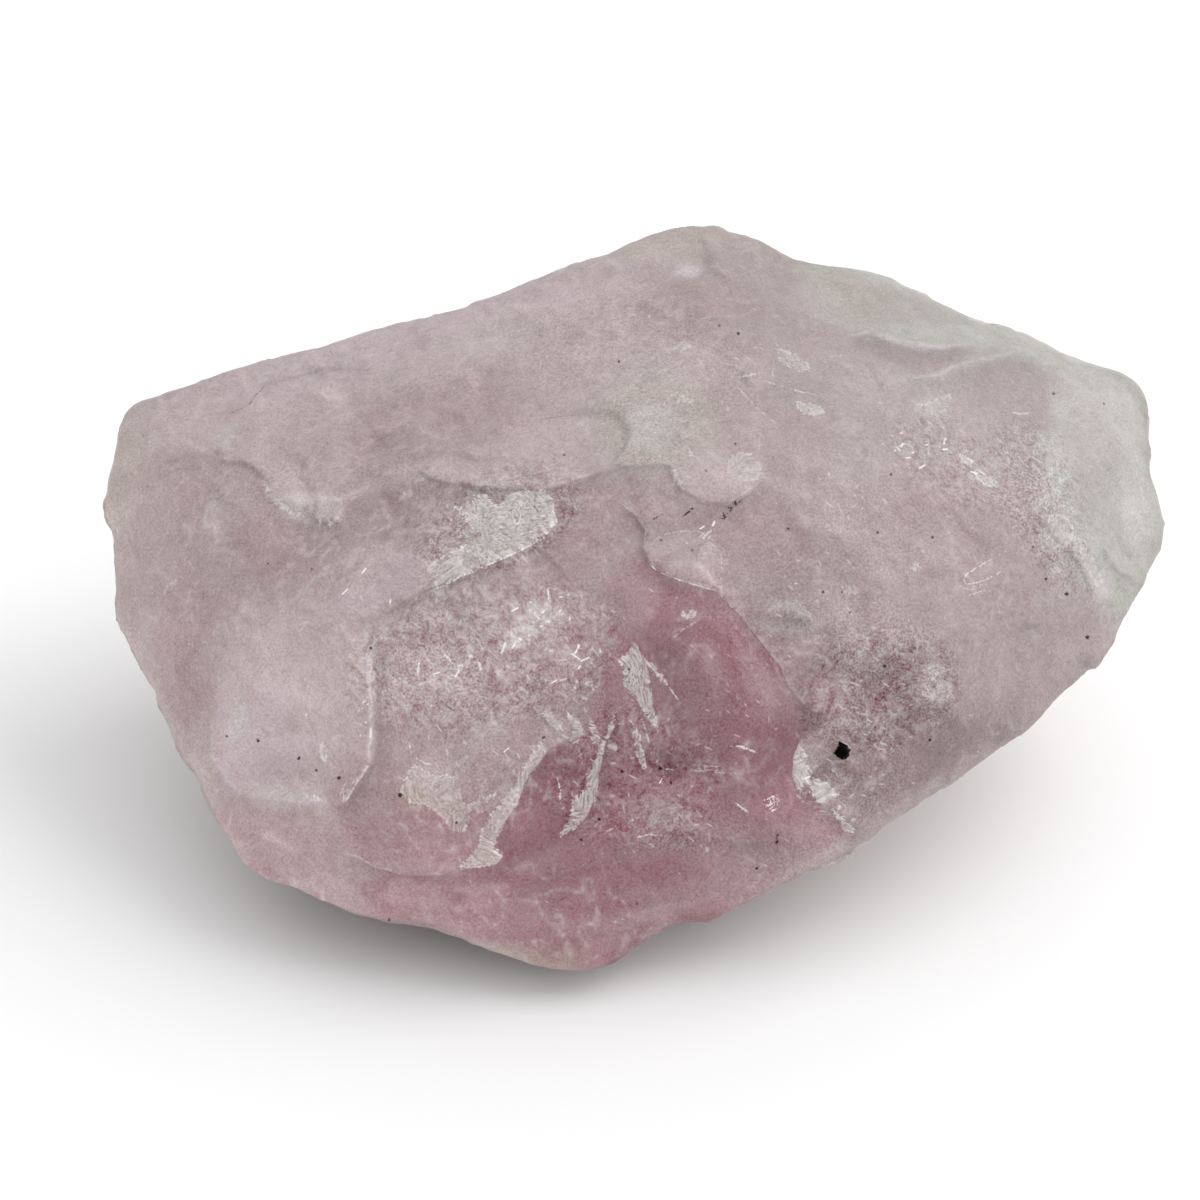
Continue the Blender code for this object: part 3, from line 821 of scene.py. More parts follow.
# The colours of the faces, each laid over the ones before it.
TINTS = (
    Tint(UPPER_PLATE, Tone.PALE, 1.0, 0.45, 0.5),
    spot(400, 340, 300, 32, -15, Tone.LILAC, 0.8, 2.5),
    spot(430, 425, 120, 42, -18, Tone.BLUSH, 0.55, 2.0),
    spot(470, 355, 60, 18, -20, Tone.SAND, 0.5),
    spot(655, 425, 75, 60, 0, Tone.SAND, 0.9, 2.5),
    spot(650, 432, 26, 28, 10, Tone.ICY, 0.4, 1.0),
    spot(690, 245, 120, 30, 4, Tone.SAND, 0.8),
    spot(730, 305, 100, 40, 4, Tone.BROWNISH, 0.7, 3.0),
    spot(690, 305, 50, 22, 0, Tone.BLUSH, 0.4, 1.5),
    spot(300, 440, 34, 24, -10, Tone.BLUSH, 0.6, 1.5),
    Tint(END_FACE, Tone.GREENISH, 0.95, 2.0),
    spot(835, 295, 50, 32, 20, Tone.SAND, 0.8, 2.0),
    spot(905, 308, 40, 14, 12, Tone.BROWNISH, 0.5, 1.5),
    spot(1105, 470, 58, 105, 0, Tone.ICY, 0.55, 2.5),
    spot(1085, 450, 30, 60, 0, Tone.SAND, 0.5, 2.0),
    Tint(UNDER_LIP, Tone.BROWNISH, 0.65, 1.0, 0.5),
    Tint(Splinter((
        (884, 336), (905, 344), (930, 348), (952, 345), (972, 344),
    ), 6.0), Tone.MILKY, 0.75, 0.35, 0.3),
    spot(1015, 385, 48, 24, 4, Tone.BROWNISH, 0.5, 0.9, 0.5),
    Tint(Splinter((
        (862, 380), (900, 380), (936, 377), (958, 367), (985, 361), (1010, 356), (1050, 366),
    ), 6.0), Tone.ICY, 0.5, 0.4, 0.3),
    Tint(Splinter((
        (1108, 372), (1130, 382), (1142, 405), (1147, 430), (1149, 470),
    ), 16.0), Tone.MOSSY, 0.45, 0.8),
    spot(850, 380, 70, 30, 0, Tone.SAND, 0.45, 2.0),
    spot(950, 530, 50, 40, 20, Tone.BLUSH, 0.55, 2.0),
    spot(760, 540, 60, 44, 0, Tone.BLUSH, 0.5, 2.5),
    spot(590, 515, 62, 36, -5, Tone.BLUSH, 0.65, 1.2),
    spot(700, 515, 50, 26, 0, Tone.BLUSH, 0.4, 1.5),
    spot(690, 562, 38, 28, 15, Tone.PALE, 0.8, 0.6, 0.3),
    spot(530, 560, 70, 40, -20, Tone.BLUSH, 0.5, 2.0),
    spot(590, 585, 70, 50, 0, Tone.BLUSH, 0.6, 2.5),
    spot(180, 560, 60, 100, 10, Tone.DUSTY, 0.8, 2.0),
    spot(190, 640, 34, 80, 5, Tone.BLUSH, 0.6, 2.0),
    spot(122, 470, 22, 110, 8, Tone.SAND, 0.8, 1.8),
    spot(190, 485, 20, 20, 0, Tone.BLUSH, 0.4, 1.5),
    spot(196, 490, 14, 34, 8, Tone.BLUSH, 0.5, 1.2),
    Tint(STREAKY_LEFT, Tone.MILKY, 0.4, 0.7),
    spot(330, 545, 90, 18, -28, Tone.BLUSH, 0.55, 1.2),
    spot(255, 605, 50, 18, -20, Tone.BLUSH, 0.5, 1.0),
    spot(190, 700, 16, 60, 8, Tone.SMOKY, 0.5, 1.2),
    Tint(SCARP_SHELF, Tone.PALE, 0.75, 0.4),
    Tint(SCARP_FOOT, Tone.MILKY, 0.45, 0.5),
    Tint(Splinter((
        (263, 466), (268, 484), (276, 498), (290, 504), (318, 500), (345, 497), (362, 489),
        (372, 482),
    ), 7.0), Tone.MILKY, 0.55, 0.4),
    Tint(Splinter((
        (380, 470), (396, 472), (412, 479), (430, 476), (440, 480),
    ), 6.0), Tone.MILKY, 0.45, 0.4),
    spot(420, 520, 46, 22, 12, Tone.SMOKY, 0.45, 1.5),
    spot(260, 545, 40, 30, 30, Tone.BLUSH, 0.6, 1.8),
    Tint(BELOW_CHIP, Tone.LILAC, 0.75, 0.8),
    spot(215, 640, 10, 30, 25, Tone.LILAC, 0.4, 0.8),
    Tint(SLAB, Tone.LILAC, 0.65, 2.2),
    Tint(Splinter((
        (381, 640), (381, 700), (383, 745), (376, 770), (362, 792), (345, 812),
    ), 12.0), Tone.BLUSH, 0.6, 0.6),
    spot(315, 665, 44, 40, 0, Tone.PALE, 0.8, 2.0),
    spot(255, 730, 40, 70, 5, Tone.LILAC, 0.7, 1.8),
    spot(290, 660, 70, 26, -8, Tone.SAND, 0.3, 2.0),
    spot(240, 720, 9, 26, 8, Tone.ICY, 0.45, 0.8),
    Tint(Splinter((
        (371, 640), (371, 690), (372, 720), (373, 745), (368, 766), (354, 787), (341, 802),
    ), 7.0), Tone.MILKY, 0.85, 0.4, 0.5),
    Tint(Splinter((
        (222, 770), (240, 792), (262, 800), (300, 804), (318, 800),
    ), 7.0), Tone.MILKY, 0.45, 0.5),
    Tint(Splinter(((262, 745), (285, 735), (310, 741), (330, 752)), 6.0), Tone.MILKY, 0.35, 0.5),
    spot(270, 850, 80, 50, 20, Tone.BLUSH, 0.9, 1.5),
    spot(250, 870, 40, 30, 40, Tone.ROSE, 0.3, 2.0),
    spot(375, 800, 40, 46, -30, Tone.BLUSH, 0.9, 1.5),
    spot(440, 830, 90, 34, 0, Tone.BLUSH, 0.95, 2.0),
    spot(420, 850, 70, 14, 8, Tone.ROSE, 0.4, 1.0),
    spot(420, 720, 60, 50, 0, Tone.BLUSH, 0.5, 3.0),
    spot(450, 665, 60, 24, -8, Tone.MILKY, 0.35, 2.0),
    spot(545, 680, 70, 60, 0, Tone.BLUSH, 0.9, 3.0),
    Tint(HOLLOW, Tone.ROSE, 0.95, 1.8, 0.6),
    spot(730, 690, 85, 75, 20, Tone.DEEP_ROSE, 0.3, 3.5),
    spot(680, 762, 26, 17, 20, Tone.WINE, 0.7, 1.5),
    Tint(UNDER_LOBE, Tone.DEEP_ROSE, 0.95, 0.8, 0.5),
    spot(520, 880, 70, 12, -6, Tone.DEEP_ROSE, 0.6, 0.8),
    spot(610, 790, 40, 50, 0, Tone.DEEP_ROSE, 0.4, 3.0),
    spot(640, 890, 100, 30, -5, Tone.DEEP_ROSE, 0.5, 2.5),
    spot(470, 915, 80, 26, 8, Tone.ROSE, 0.6, 1.5),
    spot(680, 940, 90, 24, -14, Tone.DEEP_ROSE, 0.85, 1.0),
    spot(765, 865, 70, 38, -25, Tone.BLUSH, 0.8, 3.0),
    spot(690, 830, 50, 20, 0, Tone.BLUSH, 0.5, 2.0),
    spot(430, 905, 90, 26, 5, Tone.BLUSH, 0.55, 2.0),
    spot(545, 955, 70, 16, 3, Tone.OLIVE, 0.35, 1.0),
    spot(560, 930, 90, 22, 0, Tone.BLUSH, 0.4, 2.0),
    spot(640, 848, 30, 10, -5, Tone.SMOKY, 0.75, 1.2),
    spot(660, 815, 20, 14, -30, Tone.PALE, 0.5, 1.0),
    spot(789, 629, 28, 13, 6, Tone.MOSSY, 0.85, 0.9),
    spot(812, 665, 34, 38, 20, Tone.BLUSH, 0.75, 1.5),
    spot(830, 655, 18, 26, 0, Tone.MOSSY, 0.4, 1.5),
    spot(885, 722, 82, 60, -28, Tone.SMOKY, 0.9, 3.0),
    spot(930, 752, 64, 26, -30, Tone.SMOKY, 0.7, 1.2),
    spot(838, 700, 30, 18, 40, Tone.BLUSH, 0.7, 1.2),
    spot(872, 705, 16, 14, 0, Tone.ROSE, 0.5, 1.0),
    spot(850, 690, 20, 8, 50, Tone.CHALK, 0.35, 0.8),
    spot(935, 690, 14, 9, 0, Tone.CHALK, 0.5, 0.8),
    spot(935, 672, 9, 7, 0, Tone.CHALK, 0.5, 0.6),
    spot(970, 735, 40, 18, -25, Tone.MOSSY, 0.5, 1.5),
    spot(425, 492, 34, 13, 5, Tone.SMOKY, 0.75, 1.5),
    spot(487, 543, 28, 5, 4, Tone.OLIVE, 0.5, 0.5),
    spot(432, 806, 38, 10, 12, Tone.OLIVE, 0.7, 0.8),
    spot(460, 820, 12, 14, 0, Tone.OLIVE, 0.8, 0.8),
    spot(685, 270, 13, 7, 0, Tone.MILKY, 0.8, 0.5),
    spot(745, 468, 20, 17, 0, Tone.LILAC, 0.6, 0.5),
    spot(931, 402, 18, 13, -20, Tone.ICY, 0.3, 0.8),
    Tint(Outline((
        (222, 425), (236, 424), (232, 440), (238, 455), (226, 457), (212, 447),
    )), Tone.ICY, 0.6, 0.6),
    Tint(Outline((
        (268, 418), (262, 430), (256, 440), (258, 458), (272, 454), (279, 436), (276, 422),
    )), Tone.LILAC, 0.6, 0.4, 0.3),
    spot(1060, 530, 14, 16, 0, Tone.MILKY, 0.6, 0.8),
    Tint(Outline((
        (1080, 556), (1090, 556), (1096, 570), (1108, 578), (1110, 594), (1100, 600),
        (1092, 588),
    )), Tone.MILKY, 0.75, 0.7),
    Tint(Splinter(((205, 535), (212, 545), (219, 556)), 7.0), Tone.ICY, 0.5, 0.5),
    Tint(Splinter(((310, 540), (298, 560), (282, 573), (260, 581)), 5.0), Tone.LILAC, 0.6, 0.5),
    Tint(Splinter(((765, 612), (780, 605), (798, 607), (810, 618)), 9.0), Tone.CHALK, 0.6, 0.5),
    Tint(Splinter(((801, 644), (808, 640), (822, 638)), 8.0), Tone.CHALK, 0.6, 0.5),
    Tint(Splinter(((300, 812), (314, 835), (322, 862), (330, 880)), 10.0), Tone.PALE, 0.5, 1.0),
    Tint(Splinter(((262, 832), (280, 842), (298, 852)), 8.0), Tone.LILAC, 0.6, 0.6),
    Tint(Splinter((
        (820, 733), (828, 724), (845, 720), (862, 724), (874, 734),
    ), 8.0), Tone.CHALK, 0.6, 0.6),
    Tint(Splinter((
        (600, 962), (640, 950), (680, 934), (720, 920), (760, 900),
    ), 9.0), Tone.BROWNISH, 0.6, 0.8),
    spot(440, 840, 90, 40, 0, Tone.ROSE, 0.4, 2.0),
    spot(440, 905, 100, 26, 5, Tone.ROSE, 0.75, 2.0),
    spot(500, 778, 60, 40, -30, Tone.ROSE, 0.25, 2.5),
    spot(778, 625, 30, 42, 0, Tone.SHADED, 0.28, 2.0),
    spot(575, 655, 24, 20, 0, Tone.ROSE, 0.3, 1.5),
    spot(852, 702, 64, 52, -20, Tone.SHADED, 0.45, 3.5),
    spot(935, 755, 80, 26, -30, Tone.SHADED, 0.5, 2.0),
    spot(832, 792, 34, 30, 0, Tone.SHADED, 0.35, 1.5),
    spot(828, 650, 24, 30, 0, Tone.SHADED, 0.35, 1.5),
    spot(760, 255, 54, 26, 20, Tone.BROWNISH, 0.8, 1.8),
    spot(752, 400, 50, 70, 0, Tone.BROWNISH, 0.5, 2.5),
    spot(880, 510, 50, 30, 0, Tone.BLUSH, 0.4, 2.0),
    spot(1080, 505, 26, 30, 0, Tone.BROWNISH, 0.3, 1.5),
    spot(628, 600, 26, 30, 0, Tone.PALE, 0.4, 2.0),
    spot(775, 700, 24, 24, 0, Tone.PALE, 0.35, 2.0),
    spot(680, 700, 40, 44, 0, Tone.BLUSH, 0.3, 2.5),
    # The next three patches are soft white blobs where the glints lie: painted glints.
    Tint(Splinter(((500, 648), (515, 640), (531, 630)), 13.0), Tone.CHALK, 0.6, 0.5),
    spot(541, 615, 20, 10, -20, Tone.CHALK, 0.55, 0.7),
    spot(578, 655, 17, 9, -20, Tone.MILKY, 0.25, 0.6),
    spot(552, 640, 12, 8, 30, Tone.MILKY, 0.4, 0.5),
    spot(515, 668, 16, 8, -20, Tone.MILKY, 0.35, 0.6),
    spot(440, 662, 34, 14, -10, Tone.MILKY, 0.12, 0.8),
    spot(625, 850, 46, 20, -5, Tone.DEEP_ROSE, 0.45, 2.0),
    spot(545, 938, 64, 18, 8, Tone.DEEP_ROSE, 0.45, 1.5),
    spot(450, 815, 62, 30, 5, Tone.ROSE, 0.35, 2.0),
    spot(528, 748, 24, 26, 0, Tone.ROSE, 0.4, 1.5),
    spot(428, 652, 36, 16, -8, Tone.ROSE, 0.3, 1.5),
    spot(778, 802, 34, 26, 0, Tone.ROSE, 0.4, 2.0),
    spot(448, 903, 64, 16, 6, Tone.ROSE, 0.35, 1.2),
    spot(578, 902, 30, 16, 0, Tone.DEEP_ROSE, 0.3, 1.5),
    spot(384, 680, 12, 46, 0, Tone.PALE, 0.5, 1.2),
    spot(425, 603, 26, 12, -20, Tone.PALE, 0.4, 1.2),
    spot(425, 702, 34, 18, 0, Tone.PALE, 0.4, 2.0),
    spot(274, 798, 26, 10, 5, Tone.ICY, 0.4, 1.0),
    spot(160, 495, 30, 22, 0, Tone.PALE, 0.5, 2.0),
    spot(225, 452, 16, 14, 0, Tone.PALE, 0.4),
    spot(577, 752, 14, 18, 0, Tone.BLUSH, 0.5, 1.2),
    spot(675, 900, 30, 16, -12, Tone.BLUSH, 0.5, 1.5),
    spot(975, 702, 18, 20, -30, Tone.PALE, 0.4, 1.5),
    spot(676, 500, 24, 12, 0, Tone.PALE, 0.4, 1.2),
    spot(822, 702, 18, 24, 0, Tone.ROSE, 0.35, 1.5),
    spot(776, 655, 20, 26, -30, Tone.ROSE, 0.35, 1.5),
    spot(874, 550, 30, 16, -20, Tone.BLUSH, 0.35, 1.5),
    spot(1078, 552, 14, 16, 0, Tone.BROWNISH, 0.3, 1.0),
    *(Tint(Splinter(line, 5.0), Tone.MILKY, 0.17, 0.7) for line in STREAKS),
)

# Bright lines on the breaks, some of them painted highlights along ridges, and dark cracks.
HAIRS = (
    # These two lines are a painted highlight along the crest of the hollow.
    Hair(((646, 560), (655, 570), (667, 576), (683, 581), (700, 586), (717, 591)), 0.7),
    Hair(((717, 591), (743, 620), (761, 645), (777, 666)), 0.5),
    Hair((
        (652, 542), (662, 535), (680, 531), (698, 531), (712, 539), (721, 555), (722, 573),
        (717, 590),
    ), 0.3),
    Hair(((620, 503), (636, 515), (646, 530), (644, 548)), 0.3),
    Hair(((645, 660), (655, 671), (666, 682), (675, 694), (682, 703)), 0.8),
    Hair(((725, 748), (738, 749), (754, 755)), 1.0),
    Hair(((758, 803), (776, 796)), 1.0),
    Hair(((761, 809), (779, 801)), 1.0),
    Hair(((764, 815), (778, 808)), 0.9),
    Hair(((734, 801), (741, 808), (749, 812)), 0.9),
    Hair(((690, 764), (705, 766), (724, 767)), 0.5),
    Hair(((690, 770), (712, 772), (735, 774)), 0.45),
    Hair(((562, 777), (566, 793), (564, 806)), 0.7),
    Hair(((640, 714), (646, 730), (650, 745), (652, 757)), 0.5),
    Hair(((622, 829), (632, 820), (642, 815)), 0.6),
    Hair(((600, 836), (616, 826), (622, 815)), 0.5),
    Hair(((632, 838), (648, 834), (664, 835)), 0.6),
    Hair((
        (1010, 549), (986, 562), (968, 573), (964, 582), (971, 584), (988, 579), (1004, 570),
    ), 0.6),
    Hair(((964, 597), (978, 592), (990, 589)), 0.45),
    Hair(((1003, 410), (1018, 415), (1031, 413)), 0.5),
    Hair(((1134, 450), (1138, 475), (1144, 502)), 0.4),
    Hair(((714, 361), (735, 366), (748, 374), (766, 380)), 0.4),
    Hair(((730, 376), (755, 378), (775, 385), (800, 392), (817, 395)), 0.45),
    Hair(((735, 383), (744, 395), (760, 410), (778, 424)), 0.35),
    Hair(((772, 365), (773, 382)), 0.4),
    Hair(((750, 348), (765, 350)), 0.4),
    Hair(((408, 741), (412, 755), (424, 764), (434, 765)), 0.5),
    Hair(((442, 652), (455, 665), (472, 668)), 0.7),
    Hair(((352, 772), (345, 785), (340, 798)), 0.3),
    Hair(((372, 762), (356, 784), (345, 803)), 0.5),
    Hair(((672, 640), (686, 628), (698, 622)), 0.4),
    Hair(((690, 645), (712, 622), (735, 607)), 0.25),
    Hair(((895, 448), (905, 443), (915, 449)), 0.5),
    Hair(((535, 420), (560, 417), (578, 414)), -0.3),
    Hair(((560, 455), (568, 455)), -0.7),
    Hair(((639, 437), (645, 434)), -0.9),
    Hair(((720, 523), (728, 513), (733, 507), (743, 499)), -1.6),
    Hair(((717, 521), (724, 515), (731, 504), (738, 499)), -1.5),
    Hair(((436, 587), (470, 573), (500, 560), (520, 551), (544, 538), (554, 525)), 0.6),
    Hair(((751, 488), (757, 482)), -0.8),
    Hair(((651, 521), (659, 516), (666, 513)), -0.9),
    Hair(((680, 518), (686, 514), (692, 509), (698, 507)), -0.9),
    Hair(((531, 502), (536, 509), (541, 514)), -0.6),
    Hair(((226, 414), (240, 410), (251, 403), (257, 394), (266, 384)), -0.55),
    Hair(((285, 378), (300, 375), (322, 370)), -0.25),
    Hair(((355, 808), (363, 805)), -0.7),
    Hair(((592, 973), (615, 963), (641, 954)), -0.6),
    Hair(((440, 700), (450, 708), (456, 712)), -0.6),
    Hair(((556, 903), (563, 899), (568, 895)), -0.6),
    Hair(((665, 763), (668, 772), (671, 779)), -0.8),
    Hair(((778, 672), (776, 680)), -0.6),
)
# The dark grain of another mineral, and the small specks: their middles in pixels, and their
# radii in millimetres before they are scaled.
DARK_GRAIN = Speck((840.5, 751), 0.6)
SPECK_SCALE = 0.68
SPECKS = (
    DARK_GRAIN,
    *(Speck((x, y), SPECK_SCALE * radius) for x, y, radius in (
        (269, 564, 0.13), (312, 569, 0.12), (371, 648, 0.13), (544, 737, 0.13), (564, 455, 0.10),
        (661, 540, 0.12), (692, 550, 0.12), (878, 532, 0.14), (934, 535, 0.16), (823, 592, 0.14),
        (842, 592, 0.12), (850, 612, 0.13), (884, 666, 0.17), (1046, 579, 0.15), (1066, 594, 0.18),
        (1087, 637, 0.20), (299, 758, 0.15), (340, 778, 0.17), (317, 770, 0.12), (259, 740, 0.15),
        (228, 736, 0.12), (389, 921, 0.12), (637, 903, 0.11), (788, 529, 0.14), (890, 475, 0.14),
        (619, 362, 0.12), (706, 471, 0.10), (629, 669, 0.10), (1034, 547, 0.10),
        (930, 740, 0.16), (400, 795, 0.22), (456, 823, 0.12),
        (660, 768, 0.20), (671, 783, 0.16), (1053, 394, 0.16), (1103, 404, 0.12), (756, 868, 0.18),
        (776, 842, 0.16), (777, 835, 0.12), (600, 820, 0.15), (623, 771, 0.18), (582, 840, 0.12),
        (735, 444, 0.12), (738, 335, 0.14), (719, 326, 0.12),
    )),
)


class Value:
    """A socket of a shader, on which Python's operators work: each adds its Math node."""

    def __init__(self, graph: "Graph", socket: bpy.types.NodeSocket) -> None:
        """Wraps one output socket of the graph."""
        self.graph = graph
        self.socket = socket

    def maths(self, operation: str, *others: "Value | float", clamped: bool = False) -> "Value":
        """The result of a Math node.

        Args:
            operation: the Math node's own name for what it does.
            others: the numbers or sockets that come after this one.
            clamped: whether the result is held between 0 and 1.

        Returns:
            The node's result.
        """
        settings = {"operation": operation, "use_clamp": clamped}
        inputs = dict(enumerate((self, *others)))
        return self.graph.node("ShaderNodeMath", settings, inputs)[0]

    def __add__(self, other: "Value | float") -> "Value":
        """This and the other, added."""
        return self.maths("ADD", other)

    __radd__ = __add__

    def __mul__(self, other: "Value | float") -> "Value":
        """This times the other."""
        return self.maths("MULTIPLY", other)

    __rmul__ = __mul__

    def __sub__(self, other: "Value | float") -> "Value":
        """This less the other."""
        return self.maths("SUBTRACT", other)

    def __rsub__(self, other: float) -> "Value":
        """A number less this."""
        return (self * -1) + other

    def __abs__(self) -> "Value":
        """This without its sign."""
        return self.maths("ABSOLUTE")

    def __pow__(self, other: float) -> "Value":
        """This to the power of the other."""
        return self.maths("POWER", other)

    def held(self) -> "Value":
        """This, held between 0 and 1."""
        return self.maths("ADD", 0.0, clamped=True)


class Graph:
    """The nodes of one material."""

    def __init__(self, name: str) -> None:
        """Starts a material with one Principled shader.

        Args:
            name: the material's name.
        """
        self.material = bpy.data.materials.new(name)
        self.material.use_nodes = True
        self.tree = self.material.node_tree
        self.shader = self.tree.nodes["Principled BSDF"]

    def node(
        self,
        kind: str,
        settings: dict[str, object],
        inputs: "dict[int | str, Value | float | Sequence[float]]",
    ) -> list[Value]:
        """Adds a node.

        Args:
            kind: the node's type.
            settings: its own settings, which are set first.
            inputs: a number, colour or link for each input that isn't left as it is.

        Returns:
            Its outputs.
        """
        made = self.tree.nodes.new(kind)
        for name, value in settings.items():
            setattr(made, name, value)
        for place, value in inputs.items():
            self.feed(made.inputs[place], value)
        return [Value(self, socket) for socket in made.outputs]

    def feed(self, socket: bpy.types.NodeSocket, value: "Value | float | Sequence[float]") -> None:
        """Links a value to a socket, or sets the number or colour on it.

        Args:
            socket: the input to feed.
            value: the value to link, or the number or colour to set.
        """
        if isinstance(value, Value):
            self.tree.links.new(value.socket, socket)
        else:
            socket.default_value = value

    def set(self, **inputs: "Value | float | Sequence[float]") -> None:
        """Feeds the Principled shader's inputs, named with _ for each space."""
        for name, value in inputs.items():
            self.feed(self.shader.inputs[name.replace("_", " ")], value)

    def place(self) -> Value:
        """Where a point lies in the stone, in millimetres."""
        metres = self.node("ShaderNodeTexCoord", {}, {})[3]
        return self.vector("SCALE", metres, Scale=1 / MM)

    def vector(self, operation: str, *inputs: "Value | Sequence[float]", **named: float) -> Value:
        """The result of a Vector Math node."""
        both = {**dict(enumerate(inputs)), **named}
        return self.node("ShaderNodeVectorMath", {"operation": operation}, both)[0]

    def noise(self, place: Value, width: float, detail: float) -> Value:
        """Soft noise from 0 to 1, whose bumps are about as wide as said, in millimetres."""
        inputs = {"Vector": place, "Scale": 1 / width, "Detail": detail}
        return self.node("ShaderNodeTexNoise", {}, inputs)[0]

    def dot(self, a: Value, b: Value) -> Value:
        """How far the vector a reaches along b."""
        return self.node("ShaderNodeVectorMath", {"operation": "DOT_PRODUCT"}, {0: a, 1: b})[1]

    def parts(self, vector: Value) -> list[Value]:
        """The three numbers of a vector or colour."""
        return self.node("ShaderNodeSeparateXYZ", {}, {0: vector})

    def attribute(self, name: str) -> list[Value]:
        """An attribute of the mesh: as a colour, a vector, a number and its alpha."""
        return self.node("ShaderNodeAttribute", {"attribute_name": name}, {})

    def mix(self, share: "Value | float", a: "Value | Colour", b: "Value | Colour") -> Value:
        """Mixes two colours.

        Args:
            share: how much of the second there is, from 0 to 1.
            a: the first colour.
            b: the second colour.

        Returns:
            The mixed colour.
        """
        ends = [(*end, 1.0) if isinstance(end, tuple) else end for end in (a, b)]
        inputs = {0: share, 6: ends[0], 7: ends[1]}
        return self.node("ShaderNodeMix", {"data_type": "RGBA"}, inputs)[2]

    def bump(self, height: Value, depth: float) -> Value:
        """The normal of a fine relief whose height runs from 0 to 1 over a depth in mm."""
        return self.node("ShaderNodeBump", {}, {"Height": height, "Distance": depth * MM})[0]


@dataclass(frozen=True)
class CloudyBeryl:
    """The finish of the stone: cloudy pink crystal, dull on its breaks, with pale flecks and painted
    glints.

    The glow is how much of the light goes into the stone, and the glow depth how far, in
    millimetres, for red, green and blue. The cloud colour is what a cloudy spot adds to
    the stone's own colour: clear spots are darker and rosier. The cracks are tiny flat
    breaks inside the crystal, of which the surface shows the edges: the crack width is how
    far they lie apart. All widths and depths are in millimetres; the streaks are stretched
    along the way of each small crystal.
    """

    roughness: float = 0.52
    refraction: float = 1.55
    glow: float = 0.2
    glow_depth: tuple[float, float, float] = (0.9, 0.55, 0.5)
    grain_width: float = 0.15
    middle_width: float = 0.6
    streak_width: float = 0.17
    streak_stretch: float = 0.86
    relief_width: float = 0.4
    relief_depth: float = 0.05
    sparkle_gloss: float = 0.2
    cloud_colour: Colour = (0.30, 0.37, 0.36)
    crack_width: float = 0.65
    crack_thickness: float = 0.055

    def make(self) -> bpy.types.Material:
        """Makes the finish.

        Returns:
            The stone's material.
        """
        graph = Graph("cloudy pink beryl")
        place = graph.place()
        tint = graph.attribute("tint")
        white, glints, rough = graph.parts(graph.attribute("marks")[1])
        step, shade, _ = graph.parts(graph.attribute("steps")[1])
        veil, frost, painted_light_fill = graph.parts(graph.attribute("haze_and_painted_light")[1])
        wavy = graph.vector("ADD", place, graph.attribute("bend")[1])
        way = graph.attribute("way")[1]
        along = graph.vector("SCALE", way, Scale=graph.dot(wavy, way) * self.streak_stretch)
        grain = graph.noise(place, self.grain_width, 1.0) - 0.5
        middle = graph.noise(wavy, self.middle_width, 2.0) - 0.5
        squeezed = graph.vector("SUBTRACT", wavy, along)
        streaks = graph.noise(squeezed, self.streak_width, 2.0) - 0.5

        clouds = grain * (rough * 0.45 + frost * 0.9 + 0.8)
        clouds = clouds + streaks * (rough * 0.5 + 0.45) + middle * (rough + 0.35)
        clouds = clouds * (graph.parts(tint[1])[1] * 1.3 + 0.5)
        colour = graph.vector("MULTIPLY_ADD", clouds, self.cloud_colour, tint[0])
        colour = graph.mix(veil * (middle * 3 + 0.6).held(), colour, Tone.MILKY.light)
        glints = glints * (middle * 3.4 + 0.7).held()
        colour, painted_glint = self.cracked(graph, place, colour, frost, rough, glints)
        colour = self.stepped(graph, colour, step + grain * 0.2 + middle * 0.45, shade, middle)
        colour = self.whitened(graph, colour, tint, white, grain, middle, streaks)
        colour = self.hairlines(graph, colour, middle, grain)
        # Painted glints: white laid into the colour where the dashes sparkle.
        colour = graph.mix(painted_glint, colour, Tone.WHITE_AND_PAINTED_GLINT.light)
        colour, dark = self.speckled(graph, colour, grain, middle)

        relief = graph.noise(place, self.relief_width, 1.0) * (rough * 1.4 + 0.5)
        # The base colour is scaled by painted light: paler where the lights leave the stone in shade,
        # darker where they light it.
        graph.set(
            Base_Color=graph.vector("SCALE", colour, Scale=painted_light_fill),
            Roughness=(middle * 0.3 + self.roughness - painted_glint * self.sparkle_gloss).held(),
            Metallic=dark,
            IOR=self.refraction,
            Subsurface_Weight=self.glow,
            Subsurface_Radius=self.glow_depth,
            Subsurface_Scale=MM,
            Normal=graph.bump(relief, self.relief_depth),
        )
        return graph.material

    def cracked(
        self, graph: Graph, place: Value, colour: Value, frost: Value, rough: Value, glints: Value
    ) -> tuple[Value, Value]:
        """The colour with the tiny breaks inside the crystal, seen as fine dashes.

        Args:
            graph: the material.
            place: the point in the stone, in millimetres.
            colour: the colour so far.
            frost: how frosted the stone is there.
            rough: how freshly broken it is there.
            glints: how much it sparkles there, with glints painted into the colour.

        Returns:
            The colour, and how much painted glint a dash lays on the point.
        """
        reach = frost * 0.3 + rough * 0.13 + glints * 0.26 + 0.11
        sizes = {"Vector": place, "Scale": 1 / self.crack_width}
        cell = graph.node("ShaderNodeTexVoronoi", {}, sizes)
        lean = graph.vector("NORMALIZE", graph.vector("SUBTRACT", cell[1], (0.5, 0.5, 0.5)))
        off = graph.dot(graph.vector("SUBTRACT", place, cell[2]), lean)
        picks = graph.parts(cell[1])
        inside = ((picks[0] * reach * 1.5 - cell[0] * self.crack_width) * 9).held()
        dash = ((self.crack_thickness - abs(off)) * 18 + 0.35).held() * inside
        colour = graph.mix(dash * (picks[2] * 1.1 - 0.25).held(), colour, Tone.CHALK.light)
        colour = graph.mix(dash * ((0.2 - picks[2]) * 5).held() * 0.35, colour, Tone.WINE.light)
        return colour, dash * ((glints - picks[1]) * 3).held()

